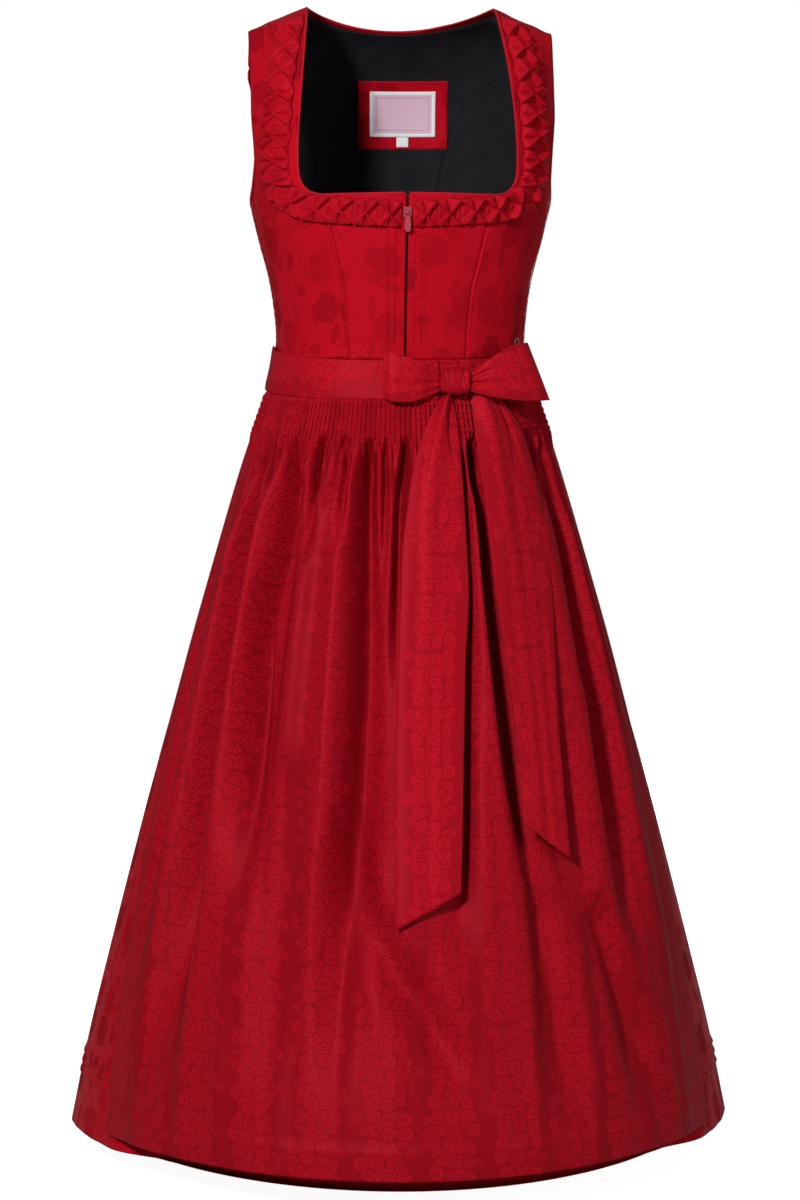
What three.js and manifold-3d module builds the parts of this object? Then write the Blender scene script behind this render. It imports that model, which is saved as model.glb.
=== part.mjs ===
// A sleeveless dirndl with its apron, filled out as it is worn and hollow inside.
// Millimetres, +Z up. The front faces -Y and the wearer's left is +X. The origin lies between the
// shoulders, level with the neck ends of the shoulder seams, where the wearer carries the dress.
import * as THREE from "three";
import { mergeVertices } from "three/addons/utils/BufferGeometryUtils.js";
import Module from "manifold-3d";

// Layers of cloth, as distances out from the outer face of the dress
const clothWall = 1.4;
const seamGap = 0.3;
const liningGap = 2.2;
const liningOut = -(clothWall + liningGap);
const liningIn = liningOut - 1;
const patchOut = liningIn - 0.6;
const patchIn = patchOut - 0.8;
const labelOut = patchIn - 0.9;
const labelIn = labelOut - 0.6;
const waistbandIn = 2 * seamGap;
const waistbandOut = waistbandIn + 1.4;
const sashIn = waistbandOut + seamGap;
const sashOut = sashIn + 2;
const apronOut = 2.2;
const apronWall = 1.3;
const tailIn = 6;
const tailSewn = 4.7;
const tailWall = 1.3;

// Heights that the pieces share
const waistSeam = -310;
const skirtHem = -998;
const apronHem = -986;
const neckBottom = -168.5;
const underarm = -176;

// The opening and the zip lie a little to the wearer's right of the middle
const zipX = -2.5;
const zipGap = 3.6;

// Sections of the filled out dress, from the shoulders to the hem: half width, depth in front of and
// behind the side seams, and the powers of sine and cosine that shape the outline. 1 and 1 is an
// ellipse, less is squarer, and a greater second power draws the sides in to a soft edge
const sections = [
  { z: 0, half: 142, front: 1.4, back: 1.4, across: 0.91, deep: 0.91 },
  { z: -2, half: 142, front: 14, back: 17, across: 0.91, deep: 0.91 },
  { z: -6, half: 142, front: 25, back: 36, across: 0.91, deep: 0.91 },
  { z: -14, half: 142, front: 39, back: 58, across: 0.91, deep: 0.91 },
  { z: -30, half: 142, front: 59, back: 78, across: 0.91, deep: 0.91 },
  { z: -60, half: 142, front: 87, back: 97, across: 0.91, deep: 0.91 },
  { z: -90, half: 142, front: 103, back: 103, across: 0.91, deep: 0.91 },
  { z: -120, half: 140, front: 112, back: 104, across: 0.91, deep: 0.91 },
  { z: -150, half: 137, front: 116, back: 101, across: 0.91, deep: 0.91 },
  { z: -172, half: 134, front: 115, back: 99, across: 0.91, deep: 0.91 },
  { z: -205, half: 126.5, front: 109, back: 94, across: 0.91, deep: 0.91 },
  { z: -240, half: 117.3, front: 101, back: 88, across: 0.91, deep: 0.91 },
  { z: -276, half: 112, front: 94, back: 82, across: 0.91, deep: 0.91 },
  { z: -300, half: 111.2, front: 90.5, back: 80, across: 0.92, deep: 0.93 },
  { z: -320, half: 113.5, front: 91, back: 83, across: 0.94, deep: 0.96 },
  { z: -345, half: 121, front: 97, back: 92, across: 0.97, deep: 1.02 },
  { z: -402, half: 141, front: 112, back: 112, across: 0.99, deep: 1.15 },
  { z: -479, half: 164.5, front: 134, back: 138, across: 1, deep: 1.25 },
  { z: -551, half: 185.5, front: 156, back: 163, across: 1, deep: 1.25 },
  { z: -624, half: 205.5, front: 178, back: 188, across: 1, deep: 1.25 },
  { z: -697, half: 226, front: 200, back: 212, across: 1, deep: 1.25 },
  { z: -771, half: 245.5, front: 222, back: 234, across: 1, deep: 1.25 },
  { z: -845, half: 264.5, front: 243, back: 254, across: 1, deep: 1.25 },
  { z: -919, half: 283, front: 262, back: 270, across: 1, deep: 1.25 },
  { z: -998, half: 299.5, front: 276, back: 285, across: 1, deep: 1.25 },
];

// The shoulders slope down from the neck to the armholes
const shoulderSlope = { neckX: 83, armX: 135, drop: 22, fadesAt: -150 };

// Panel rows run from the waist up: edge nearer the front as x and height, the other edge as the angle
// round the body from the front and its height
const frontRows = [
  { x: 51, z: -310, outer: -310 },
  { x: 51.5, z: -297, outer: -297 },
  { x: 52.5, z: -279, outer: -279 },
  { x: 55, z: -252, outer: -252 },
  { x: 60, z: -230, outer: -229 },
  { x: 67, z: -200, outer: -199 },
  { x: 72, z: -182, outer: -181 },
  { x: 76.5, z: -169.5, outer: neckBottom },
];
const sideFrontRows = [
  { x: 51, z: -310, angle: 90, outer: -310 },
  { x: 51.5, z: -297, angle: 90, outer: -298 },
  { x: 52.5, z: -279, angle: 90, outer: -282 },
  { x: 55, z: -252, angle: 90, outer: -256 },
  { x: 60, z: -230, angle: 90, outer: -232 },
  { x: 67, z: -200, angle: 90, outer: -208 },
  { x: 72, z: -182, angle: 90, outer: -190 },
  { x: 76.5, z: -169.5, angle: 90, outer: underarm },
  { x: 85.5, z: -167, angle: 84, outer: -170 },
  { x: 91.5, z: -161, angle: 77, outer: -163 },
  { x: 95, z: -150, angle: 72.5, outer: -152 },
  { x: 95.5, z: -125, angle: 70, outer: -127 },
  { x: 93.5, z: -94, angle: 69.5, outer: -97 },
  { x: 91, z: -66, angle: 69.5, outer: -70 },
  { x: 88, z: -38, angle: 70, outer: -42 },
  { x: 85.5, z: -18, angle: 70.5, outer: -20 },
  { x: 84, z: -6, angle: 71, outer: -7 },
  { x: 83, z: -2, angle: 71, outer: -2 },
  { x: 83, z: 0, angle: 71, outer: 0 },
];
const sideBackRows = [
  { x: 30, z: -310, angle: 90, outer: -310 },
  { x: 30.5, z: -297, angle: 90, outer: -298 },
  { x: 32, z: -270, angle: 90, outer: -275 },
  { x: 36, z: -225, angle: 90, outer: -236 },
  { x: 40, z: -185, angle: 90, outer: -203 },
  { x: 41.5, z: -157, angle: 90, outer: underarm },
  { x: 45, z: -135, angle: 97, outer: -168 },
  { x: 51, z: -113, angle: 104, outer: -156 },
  { x: 59, z: -92, angle: 109, outer: -132 },
  { x: 75, z: -71, angle: 110.5, outer: -104 },
  { x: 95, z: -54, angle: 110.5, outer: -78 },
  { x: 118, z: -42, angle: 110, outer: -54 },
  { x: 129, z: -36, angle: 109.5, outer: -42 },
];
// The back reaches from one of these edges to the other: the curved seams, then the armholes
const backRows = [
  { x: 30, z: -310 },
  { x: 30.5, z: -297 },
  { x: 32, z: -270 },
  { x: 36, z: -225 },
  { x: 40, z: -185 },
  { x: 41.5, z: -157 },
  { x: 45, z: -135 },
  { x: 51, z: -113 },
  { x: 59, z: -92 },
  { x: 75, z: -71 },
  { x: 95, z: -54 },
  { x: 118, z: -42 },
  { x: 129, z: -36 },
  { x: 134, z: -30 },
  { x: 134, z: -16 },
  { x: 134, z: -6 },
  { x: 134, z: -2 },
  { x: 134, z: 0 },
];
const backNeck = { halfWidth: 83, depth: 15, from: 36 };

// Middle line of the pleated neck trim, from the zip round the corner of the neck to the shoulder
const trimPath = [
  { x: 7.5, z: -186 },
  { x: 36, z: -184.5 },
  { x: 62, z: -182.5 },
  { x: 84, z: -179.5 },
  { x: 99, z: -172.5 },
  { x: 109, z: -160 },
  { x: 112.5, z: -140 },
  { x: 111.5, z: -115 },
  { x: 109.5, z: -90 },
  { x: 107.5, z: -65 },
  { x: 103.5, z: -40 },
  { x: 99.5, z: -20 },
  { x: 97, z: -5 },
];
const trim = { width: 24, motifs: 13, hollow: 2.2, ridge: 5.5 };

// Skirt: three pin tucks above the hem, and soft folds that fall from the waist at the back
const tucks = { first: -935, pitch: 8.7, count: 3, lip: 1.3, slope: 6.5 };
const backFolds = [
  { top: 101, bottom: 103, from: -330, to: -800, width: 3.4, depth: 6 },
  { top: 112, bottom: 116, from: -325, to: -980, width: 4, depth: 11 },
  { top: 124, bottom: 127, from: -325, to: -640, width: 3.2, depth: 8 },
  { top: 135, bottom: 139, from: -325, to: -998, width: 4.4, depth: 14 },
  { top: 147, bottom: 149, from: -325, to: -720, width: 3.4, depth: 10 },
  { top: 158, bottom: 161, from: -325, to: -998, width: 4.2, depth: 13 },
  { top: 170, bottom: 171, from: -325, to: -860, width: 3.6, depth: 11 },
  { top: 181, bottom: 183, from: -325, to: -998, width: 4.4, depth: 14 },
  { top: 192, bottom: 191, from: -325, to: -690, width: 3.4, depth: 10 },
  { top: 203, bottom: 200, from: -325, to: -998, width: 4.2, depth: 13 },
  { top: 214, bottom: 211, from: -325, to: -780, width: 3.6, depth: 10 },
  { top: 226, bottom: 222, from: -325, to: -998, width: 4.4, depth: 14 },
  { top: 237, bottom: 234, from: -325, to: -660, width: 3.2, depth: 8 },
  { top: 248, bottom: 245, from: -325, to: -960, width: 4, depth: 11 },
  { top: 259, bottom: 257, from: -330, to: -760, width: 3.4, depth: 6 },
];

// Apron: its two edges as angles, its smocked top, and its folds as angles at their top and bottom
const apronEdges = [
  { z: -316, angle: 80 },
  { z: -590, angle: 79.5 },
  { z: -690, angle: 75 },
  { z: -786, angle: 71.5 },
  { z: -892, angle: 66.5 },
  { z: -986, angle: 62 },
];
const smocking = { from: 5, to: 38, ribs: 86, height: 0.9, rows: 3 };
const apronFolds = [
  { top: -71, bottom: -54, from: -380, to: -900, width: 4.2, depth: 14 },
  { top: -52, bottom: -53, from: -380, to: -560, width: 2.6, depth: 9 },
  { top: -36, bottom: -33, from: -380, to: -450, width: 2.2, depth: 4 },
  { top: -27, bottom: -26, from: -380, to: -470, width: 2.2, depth: 4 },
  { top: -20, bottom: -18, from: -380, to: -830, width: 3, depth: 11 },
  { top: -12, bottom: -6, from: -560, to: -984, width: 3.2, depth: 6 },
  { top: -9, bottom: -8, from: -380, to: -520, width: 2.4, depth: 5 },
  { top: 10, bottom: 13, from: -380, to: -760, width: 3, depth: 10 },
  { top: 24, bottom: 20, from: -380, to: -700, width: 3, depth: 10 },
  { top: 36, bottom: 33, from: -400, to: -900, width: 3.4, depth: 7 },
  { top: 57, bottom: 55, from: -380, to: -820, width: 4, depth: 13 },
  { top: 68, bottom: 64, from: -380, to: -560, width: 2.8, depth: 6 },
];
const apronRidges = [
  { top: -62, bottom: -49.5, from: -430, to: -986, width: 5, depth: 5 },
  { top: -30, bottom: -28, from: -420, to: -986, width: 7, depth: 4 },
  { top: -12, bottom: -13, from: -420, to: -800, width: 4, depth: 2.5 },
  { top: 46, bottom: 46, from: -420, to: -986, width: 6, depth: 3 },
  { top: 66, bottom: 57, from: -450, to: -986, width: 5, depth: 4 },
];
const sunkUnderApron = 14;

// Sash and bow: the tie is wound round the waist and knotted at the wearer's left of the middle
const sash = { sideMiddle: -318, frontDip: 10.5, sideHalf: 19, frontHalf: 17.3, tilt: 4 };
const knot = { x: 40, y: -101, z: -329, halfX: 13.2, halfY: 9.7, halfZ: 10.8 };
const loopWall = 1.3;
// Each row of a loop: distance out from the knot, top and bottom height, and half of its fullness
const rightLoop = [
  { x: 26.5, top: -320, bottom: -338, half: 2.5 },
  { x: 16, top: -314, bottom: -342, half: 3.5 },
  { x: 2, top: -309.5, bottom: -346.5, half: 5.5 },
  { x: -10, top: -305, bottom: -347, half: 6 },
  { x: -17, top: -303, bottom: -346, half: 5 },
  { x: -21, top: -303, bottom: -344, half: 2.5 },
];
const leftLoop = [
  { x: 53.3, top: -320, bottom: -338, half: 3 },
  { x: 66, top: -313.5, bottom: -342, half: 5 },
  { x: 82, top: -305, bottom: -345, half: 7 },
  { x: 97, top: -298.5, bottom: -346.5, half: 8 },
  { x: 108, top: -296.5, bottom: -346.5, half: 6.5 },
  { x: 113, top: -296, bottom: -346, half: 3 },
];
const loopPlace = { forward: 7, clearBy: 22, leftTilt: 0.42, rightTilt: 0.02, endSlant: 9, slantOver: 60 };
// Each row of a tail: height and the x of its two edges; the two last rows make the slanted end
const rightTail = [
  { z: -344, right: 27, left: 36 },
  { z: -359, right: 18, left: 39 },
  { z: -381, right: 9, left: 41 },
  { z: -410, right: 1, left: 43 },
  { z: -440, right: -4, left: 44.5 },
  { z: -476, right: -9, left: 45.5 },
  { z: -514, right: -11, left: 46 },
  { z: -566, right: -14, left: 42 },
  { z: -630, right: -17, left: 39 },
  { z: -700, right: -20, left: 36 },
  { z: -757, right: -21, left: 33 },
];
const leftTail = [
  { z: -342, right: 52, left: 74 },
  { z: -354, right: 53, left: 85 },
  { z: -370, right: 54.5, left: 95 },
  { z: -396, right: 57, left: 104 },
  { z: -425, right: 61.5, left: 111 },
  { z: -455, right: 64, left: 116 },
  { z: -495, right: 68, left: 120 },
  { z: -553, right: 75, left: 121 },
  { z: -610, right: 82, left: 122 },
  { z: -660, right: 87.5, left: 124 },
  { z: -706, right: 89, left: 129 },
];
const tailSlant = { left: -31, right: 29 };

// Zip, its slider and its pull tab
const zip = { tapeHalf: 11, chainHalf: 1.3, chainRise: 1.6, top: -172 };
const slider = { z: -184, width: 7, height: 9, thick: 2.2, standOff: 1 };
const arch = { inner: 1, outer: 2, half: 0.8 };
const pull = { barRadius: 0.5, armIn: 1.3, armOut: 2.2, openTo: 2.7 };
const pullFlank = [
  { half: 2.2, down: 2.7 },
  { half: 2.1, down: 5 },
  { half: 2.6, down: 9 },
  { half: 2.7, down: 13 },
  { half: 1.8, down: 16 },
  { half: 0, down: 17 },
];

// Label on its cloth patch inside the back, a bare size tag, and a wire ring on the bodice
const patch = { x: 10, z: -87, halfX: 42, halfZ: 32 };
const label = { x: 10, z: -86, halfX: 31, halfZ: 21.5 };
const sizeTag = { x: 10, z: -112.5, halfX: 5.5, halfZ: 4.6 };
const wireRing = { x: 100, z: -296.5, radius: 4.2, wire: 0.6, seat: -0.3 };

// Materials
const dressRed = new THREE.MeshStandardMaterial({ color: 0xb5101c, roughness: 0.5, metalness: 0 });
const apronRed = new THREE.MeshStandardMaterial({ color: 0x960812, roughness: 0.6, metalness: 0 });
const trimRed = new THREE.MeshStandardMaterial({ color: 0xa80c18, roughness: 0.45, metalness: 0 });
const liningBlack = new THREE.MeshStandardMaterial({ color: 0x17171b, roughness: 0.8, metalness: 0 });
const labelPink = new THREE.MeshStandardMaterial({ color: 0xe9b9c8, roughness: 0.6, metalness: 0 });
const labelWhite = new THREE.MeshStandardMaterial({ color: 0xf0eeee, roughness: 0.6, metalness: 0 });
const zipRed = new THREE.MeshStandardMaterial({ color: 0xc23a44, roughness: 0.35, metalness: 0.1 });
const steel = new THREE.MeshStandardMaterial({ color: 0xb8b8bc, roughness: 0.25, metalness: 1 });

const root = new THREE.Group();

// Rows across a band or a label, so that it bends with what it lies on
const rowsAcross = [-1, -0.33, 0.33, 1];

// Small helpers
const radians = THREE.MathUtils.degToRad;
const degrees = THREE.MathUtils.radToDeg;
const lerp = THREE.MathUtils.lerp;
const smooth = THREE.MathUtils.smoothstep;

// A smooth value at height z through the rows of a table, whose z may rise or fall
function through(rows, key, z) {
  const falling = rows[0].z > rows[rows.length - 1].z;
  const sorted = falling ? [...rows].reverse() : rows;
  const last = sorted.length - 1;
  const clamped = Math.min(Math.max(z, sorted[0].z), sorted[last].z);
  let i = 0;
  while (i < last - 1 && sorted[i + 1].z < clamped) i++;
  const slope = (k) => {
    const a = sorted[Math.max(k - 1, 0)];
    const b = sorted[Math.min(k + 1, last)];
    return (b[key] - a[key]) / (b.z - a.z);
  };
  const span = sorted[i + 1].z - sorted[i].z;
  const s = (clamped - sorted[i].z) / span;
  const bend = s * (1 - s) * span;
  const straight = lerp(sorted[i][key], sorted[i + 1][key], s);
  const chord = (sorted[i + 1][key] - sorted[i][key]) / span;
  return straight + bend * ((1 - s) * (slope(i) - chord) - s * (slope(i + 1) - chord));
}

// The outer face of the dress: angle round the body in degrees (0 front, 90 the wearer's left, 180 back)
function dressPoint(angle, height) {
  const section = (key) => through(sections, key, height);
  const half = section("half");
  const s = Math.sin(radians(angle));
  const c = Math.cos(radians(angle));
  const x = half * Math.sign(s) * Math.abs(s) ** section("across");
  const y = -Math.sign(c) * section(c > 0 ? "front" : "back") * Math.abs(c) ** section("deep");
  const { neckX, armX, drop, fadesAt } = shoulderSlope;
  const out = THREE.MathUtils.clamp((Math.abs(x) - neckX) / (armX - neckX), 0, 1);
  return new THREE.Vector3(x, y, height - drop * out * smooth(height, fadesAt, -5));
}

// A point that lies some way out from the dress, square to its face
function layerPoint(angle, height, out) {
  const along = dressPoint(angle + 0.4, height).sub(dressPoint(angle - 0.4, height));
  const up = dressPoint(angle, Math.min(height + 0.4, 0)).sub(dressPoint(angle, height - 0.4));
  const outward = along.cross(up).normalize();
  return dressPoint(angle, height).addScaledVector(outward, out);
}

// The angles at which the front and the back of the dress reach a given x
function frontAngle(x, height) {
  const share = Math.min(Math.abs(x) / through(sections, "half", height), 1);
  return Math.sign(x) * degrees(Math.asin(share ** (1 / through(sections, "across", height))));
}
const backAngle = (x, height) => 180 - frontAngle(x, height);

// Triangles between two rows of points, which may hold different numbers of points
function strip(low, high, triangles) {
  let i = 0;
  let j = 0;
  while (i < low.length - 1 || j < high.length - 1) {
    const endOfHigh = j === high.length - 1;
    if (endOfHigh || (i < low.length - 1 && low[i + 1].u <= high[j + 1].u)) {
      triangles.push(low[i].p, low[i + 1].p, high[j].p);
      i++;
    } else {
      triangles.push(low[i].p, high[j + 1].p, high[j].p);
      j++;
    }
  }
}

// A wall of cloth between an outer and an inner sheet of rows, closed round its four edges
function wall(outer, inner) {
  const triangles = [];
  const side = (sheet, first) =>
    sheet.map((row, k) => ({ u: k / (sheet.length - 1), p: first ? row[0].p : row[row.length - 1].p }));
  for (let k = 1; k < outer.length; k++) strip(outer[k - 1], outer[k], triangles);
  for (let k = 1; k < inner.length; k++) strip(inner[k], inner[k - 1], triangles);
  strip(inner[0], outer[0], triangles);
  strip(outer[outer.length - 1], inner[inner.length - 1], triangles);
  strip(side(outer, true), side(inner, true), triangles);
  strip(side(inner, false), side(outer, false), triangles);
  return new THREE.BufferGeometry().setFromPoints(triangles);
}

// A row of points at shares u from 0 to 1
function rowOf(count, point) {
  return Array.from({ length: count + 1 }, (_, k) => ({ u: k / count, p: point(k / count) }));
}

function addMesh(name, geometry, material, parent = root) {
  const mesh = new THREE.Mesh(geometry, material);
  mesh.name = name;
  parent.add(mesh);
  return mesh;
}

// One sewn panel: rows of [angle, height] at its two edges, a column count, and its outer and inner
// distance from the dress's face; a side of -1 mirrors it to the wearer's right
function panel(name, material, {
  rows, innerRows = rows, side = 1, columns, out, into, dip = () => 0, crowd = 0,
}) {
  const sheet = (table, distance) =>
    table.map((row) => {
      const [a, az, b, bz] = side > 0 ? row : [-row[2], row[3], -row[0], row[1]];
      const trimA = degrees(seamGap / through(sections, "half", az));
      const trimB = degrees(seamGap / through(sections, "half", bz));
      return rowOf(columns, (u) => {
        // Columns crowd towards the two edges, where the body turns fastest
        const share = u - crowd * Math.sin(2 * Math.PI * u);
        const angle = lerp(a + trimA, b - trimB, share);
        const level = lerp(az, bz, share);
        const height = level - dip(angle, level);
        return layerPoint(angle, height, typeof distance === "function" ? distance(angle, height) : distance);
      });
    });
  return addMesh(name, wall(sheet(rows, out), sheet(innerRows, into)), material);
}

// Bodice and its lining, sewn from the same panels
function addBodice() {
  const sideFront = sideFrontRows.map((r) => [frontAngle(r.x, r.z), r.z, r.angle, r.outer]);
  const sideBack = sideBackRows.map((r) => [r.angle, r.outer, backAngle(r.x, r.z), r.z]);
  const back = backRows.map((r) => [backAngle(r.x, r.z), r.z, 360 - backAngle(r.x, r.z), r.z]);
  const frontFrom = (edge) => (side) => frontRows.map((r) => [
    frontAngle(edge(side), r.z), r.outer, frontAngle(r.x, r.z), r.z,
  ]);
  const neckDip = (angle, height) => {
    const x = dressPoint(angle, -10).x;
    const upper = Math.max(0, 1 + height / backNeck.from) ** 2;
    return upper * backNeck.depth * Math.max(0, 1 - (x / backNeck.halfWidth) ** 2);
  };
  const layers = [
    { prefix: "bodice", material: dressRed, out: 0, into: -clothWall, columns: 4, top: 0,
      front: frontFrom((side) => zipGap / 2 + side * zipX) },
    { prefix: "lining", material: liningBlack, out: liningOut, into: liningIn, columns: 4, top: -2,
      front: frontFrom((side) => zip.tapeHalf + 1 + side * zipX) },
  ];
  for (const { prefix, material, out, into, columns, top, front } of layers) {
    for (const [name, side] of [["left", 1], ["right", -1]]) {
      panel(`${prefix}_front_${name}`, material, { rows: front(side), side, columns: 3, out, into });
      const toShoulder = sideFront.filter((row) => row[1] <= top);
      panel(`${prefix}_side_front_${name}`, material, { rows: toShoulder, side, columns, out, into });
      panel(`${prefix}_side_back_${name}`, material, { rows: sideBack, side, columns: 6, out, into });
    }
    const toTop = back.filter((row) => row[1] <= top);
    panel(`${prefix}_back`, material, { rows: toTop, columns: 12, crowd: 0.05, out, into, dip: neckDip });
  }
}

// Neck trim: a pleated strip whose pleats are pinched together, so that their edges cross
function addTrim() {
  const heights = (p, q) => {
    const crossing = Math.max(0, 1 - 2 * Math.abs(Math.abs(p) - Math.abs(q)));
    const rim = 1 - 0.5 * Math.abs(q) ** 3;
    return trim.hollow + (trim.ridge - trim.hollow) * crossing * rim;
  };
  const flat = new THREE.CatmullRomCurve3(trimPath.map((r) => new THREE.Vector3(r.x, 0, r.z)));
  const perMotif = 4;
  const across = 4;
  for (const [name, side] of [["left", 1], ["right", -1]]) {
    // The strip runs from the zip to the shoulder, so its rows go from its inner to its outer edge
    const place = (along, q, out) => {
      const at = flat.getPointAt(along);
      const way = flat.getTangentAt(along);
      const x = at.x + way.z * q * (trim.width / 2) + side * (zipX / 2) * (1 - along);
      const z = Math.min(at.z - way.x * q * (trim.width / 2), -1.5);
      return layerPoint(frontAngle(side * x, z), z, out);
    };
    const sheet = (outer) => Array.from({ length: across + 1 }, (_, k) => {
      const q = side > 0 ? 1 - (2 * k) / across : (2 * k) / across - 1;
      const steps = trim.motifs * (outer ? perMotif : 2);
      return rowOf(steps, (u) => {
        const p = 2 * ((u * trim.motifs) % 1) - 1;
        return place(u, q, outer ? heights(p, q) : 2 * seamGap);
      });
    });
    addMesh(`neck_trim_${name}`, wall(sheet(true), sheet(false)), trimRed);
  }
}

// Depth of a set of folds at a place: each is a soft trough that leans from its top to its bottom angle
function foldDepth(folds, angle, height) {
  let depth = 0;
  for (const fold of folds) {
    const v = (fold.from - height) / (fold.from - fold.to);
    if (v > 0 && v < 1) {
      const middle = lerp(fold.top, fold.bottom, v ** 0.7);
      const strength = smooth(v, 0, 0.08) * (1 - smooth(v, 0.45, 1));
      depth += fold.depth * strength * Math.exp(-(((angle - middle) / fold.width) ** 2));
    }
  }
  return depth;
}

const apronEdge = (height) => through(apronEdges, "angle", height);

// How far the skirt lies in behind the apron, which leaves the folds their room
function sunk(angle, height) {
  const edge = apronEdge(height);
  const inside = 1 - smooth(Math.abs(angle), edge - 14, edge - 1);
  const down = smooth(-height, 348, 400) * (1 - 0.6 * smooth(-height, 900, 990));
  return sunkUnderApron * inside * down;
}

function apronDistance(angle, height) {
  const depth = Math.min(foldDepth(apronFolds, angle, height), sunkUnderApron - 1);
  const share = sunk(angle, height) / sunkUnderApron;
  const flatBy = 1 - smooth(Math.abs(angle), apronEdge(height) - 12, apronEdge(height) - 2);
  const overTucks = tucks.lip * smooth(-height, 880, 925);
  return apronOut + overTucks + foldDepth(apronRidges, angle, height) * flatBy - depth * share;
}

// Skirt, front and back, with the lips of its three tucks
function addSkirt() {
  const tuckHeights = Array.from({ length: tucks.count }, (_, k) => tucks.first - k * tucks.pitch);
  const free = [waistSeam - 0.4, -322, -334, -346, -370, -402, -450, -520, -600, -690, -780, -860];
  const lipRows = tuckHeights.flatMap((z) => [z, z - 0.6]);
  const outerRows = [...free, tucks.first + tucks.slope, ...lipRows, -975, skirtHem];
  const innerRows = [...free, tucks.first, -975, skirtHem];
  const lip = (height) => {
    const k = tuckHeights.findIndex((z) => height >= z - 0.01 && height < z + tucks.slope - 0.01);
    return k < 0 ? 0 : tucks.lip * (1 - (height - tuckHeights[k]) / tucks.slope);
  };
  const back = (angle, height) => {
    const nearSide = smooth(angle, 92, 104) * (1 - smooth(angle, 256, 268));
    return -nearSide * foldDepth(backFolds, angle, height) + lip(height);
  };
  const front = (angle, height) => lip(height) - sunk(angle, height);
  const plain = (shape) => (angle, height) => shape(angle, height) - lip(height) - clothWall;
  const from = (heights, first, last) => [...heights].reverse().map((z) => [first, z, last, z]);
  for (const [name, first, last, columns, shape] of [
    ["skirt_front", -90, 90, 16, front],
    ["skirt_back", 90, 270, 34, back],
  ]) {
    panel(name, dressRed, {
      rows: from(outerRows, first, last),
      innerRows: from(innerRows, first, last),
      columns,
      out: shape,
      into: plain(shape),
    });
  }
}

// Middle height and half height of the sash, which dips in front
const inFront = (angle) => Math.max(0, Math.cos(radians(angle))) ** 0.6;
const sashMiddle = (angle) => sash.sideMiddle - sash.frontDip * inFront(angle);
const sashHalf = (angle) => lerp(sash.sideHalf, sash.frontHalf, inFront(angle));
const waistbandHalf = (angle) => sashHalf(angle) - 2;

// Apron: smocked ribs under the waistband, then free folds down to the hem
function addApron() {
  const { from, to, ribs, height: ribHeight, rows } = smocking;
  const bandFoot = (angle) => sashMiddle(angle) - waistbandHalf(angle);
  const foldRows = [apronHem, -940, -870, -790, -710, -630, -570, -520, -475, -440, -412, -396];
  const smockDown = Array.from({ length: rows }, (_, k) => lerp(to, from, k / (rows - 1)));
  const foldColumns = 47;
  const row = (z, count, out) => rowOf(count, (u) => {
    const angle = lerp(-apronEdge(z), apronEdge(z), u);
    return layerPoint(angle, z, out(angle, z));
  });
  const smockRow = (down, count, out) => rowOf(count, (u) => {
    const angle = lerp(-apronEdge(sash.sideMiddle), apronEdge(sash.sideMiddle), u);
    return layerPoint(angle, bandFoot(angle) - down, out(u));
  });
  const rib = (u) => apronOut + ribHeight * (Math.round(u * ribs * 2) % 2 ? 1 : -0.3);
  const inner = (angle, z) => apronDistance(angle, z) - apronWall;
  const sewnIn = 1.4;
  const outer = [
    ...foldRows.map((z) => row(z, foldColumns, apronDistance)),
    ...smockDown.map((down) => smockRow(down, ribs * 2, rib)),
    smockRow(seamGap, foldColumns, () => sewnIn),
  ];
  const inside = [
    ...foldRows.map((z) => row(z, foldColumns, inner)),
    smockRow(to, foldColumns, () => apronOut - apronWall),
    smockRow(seamGap, foldColumns, () => sewnIn - apronWall),
  ];
  addMesh("apron", wall(outer, inside), apronRed);
}

// A band round the waist from one angle to another
function band(name, { from, to, out, into, columns, middle, half }) {
  const sheet = (distance) => rowsAcross.map((edge) => rowOf(columns, (u) => {
    const angle = lerp(from, to, u);
    return layerPoint(angle, middle(angle) + edge * half(angle), distance);
  }));
  addMesh(name, wall(sheet(out), sheet(into)), apronRed);
}

function addSash() {
  const front = { middle: sashMiddle, half: sashHalf, out: sashOut, into: sashIn };
  const crossing = (way) => (angle) => sash.sideMiddle + way * sash.tilt * Math.sin(radians(angle * 2));
  const back = { from: 90.3, to: 269.7, columns: 20, half: () => sash.sideHalf };
  const under = { out: waistbandOut, into: waistbandIn };
  band("apron_waistband", {
    ...under, from: -80, to: 80, columns: 20, middle: sashMiddle, half: waistbandHalf,
  });
  band("sash_front_right", { ...front, from: -89.7, to: 12, columns: 16 });
  band("sash_front_left", { ...front, from: 22, to: 89.7, columns: 11 });
  band("sash_back_under", { ...back, ...under, middle: crossing(1) });
  band("sash_back_over", { ...back, out: sashOut, into: sashIn, middle: crossing(-1) });
}

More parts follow.
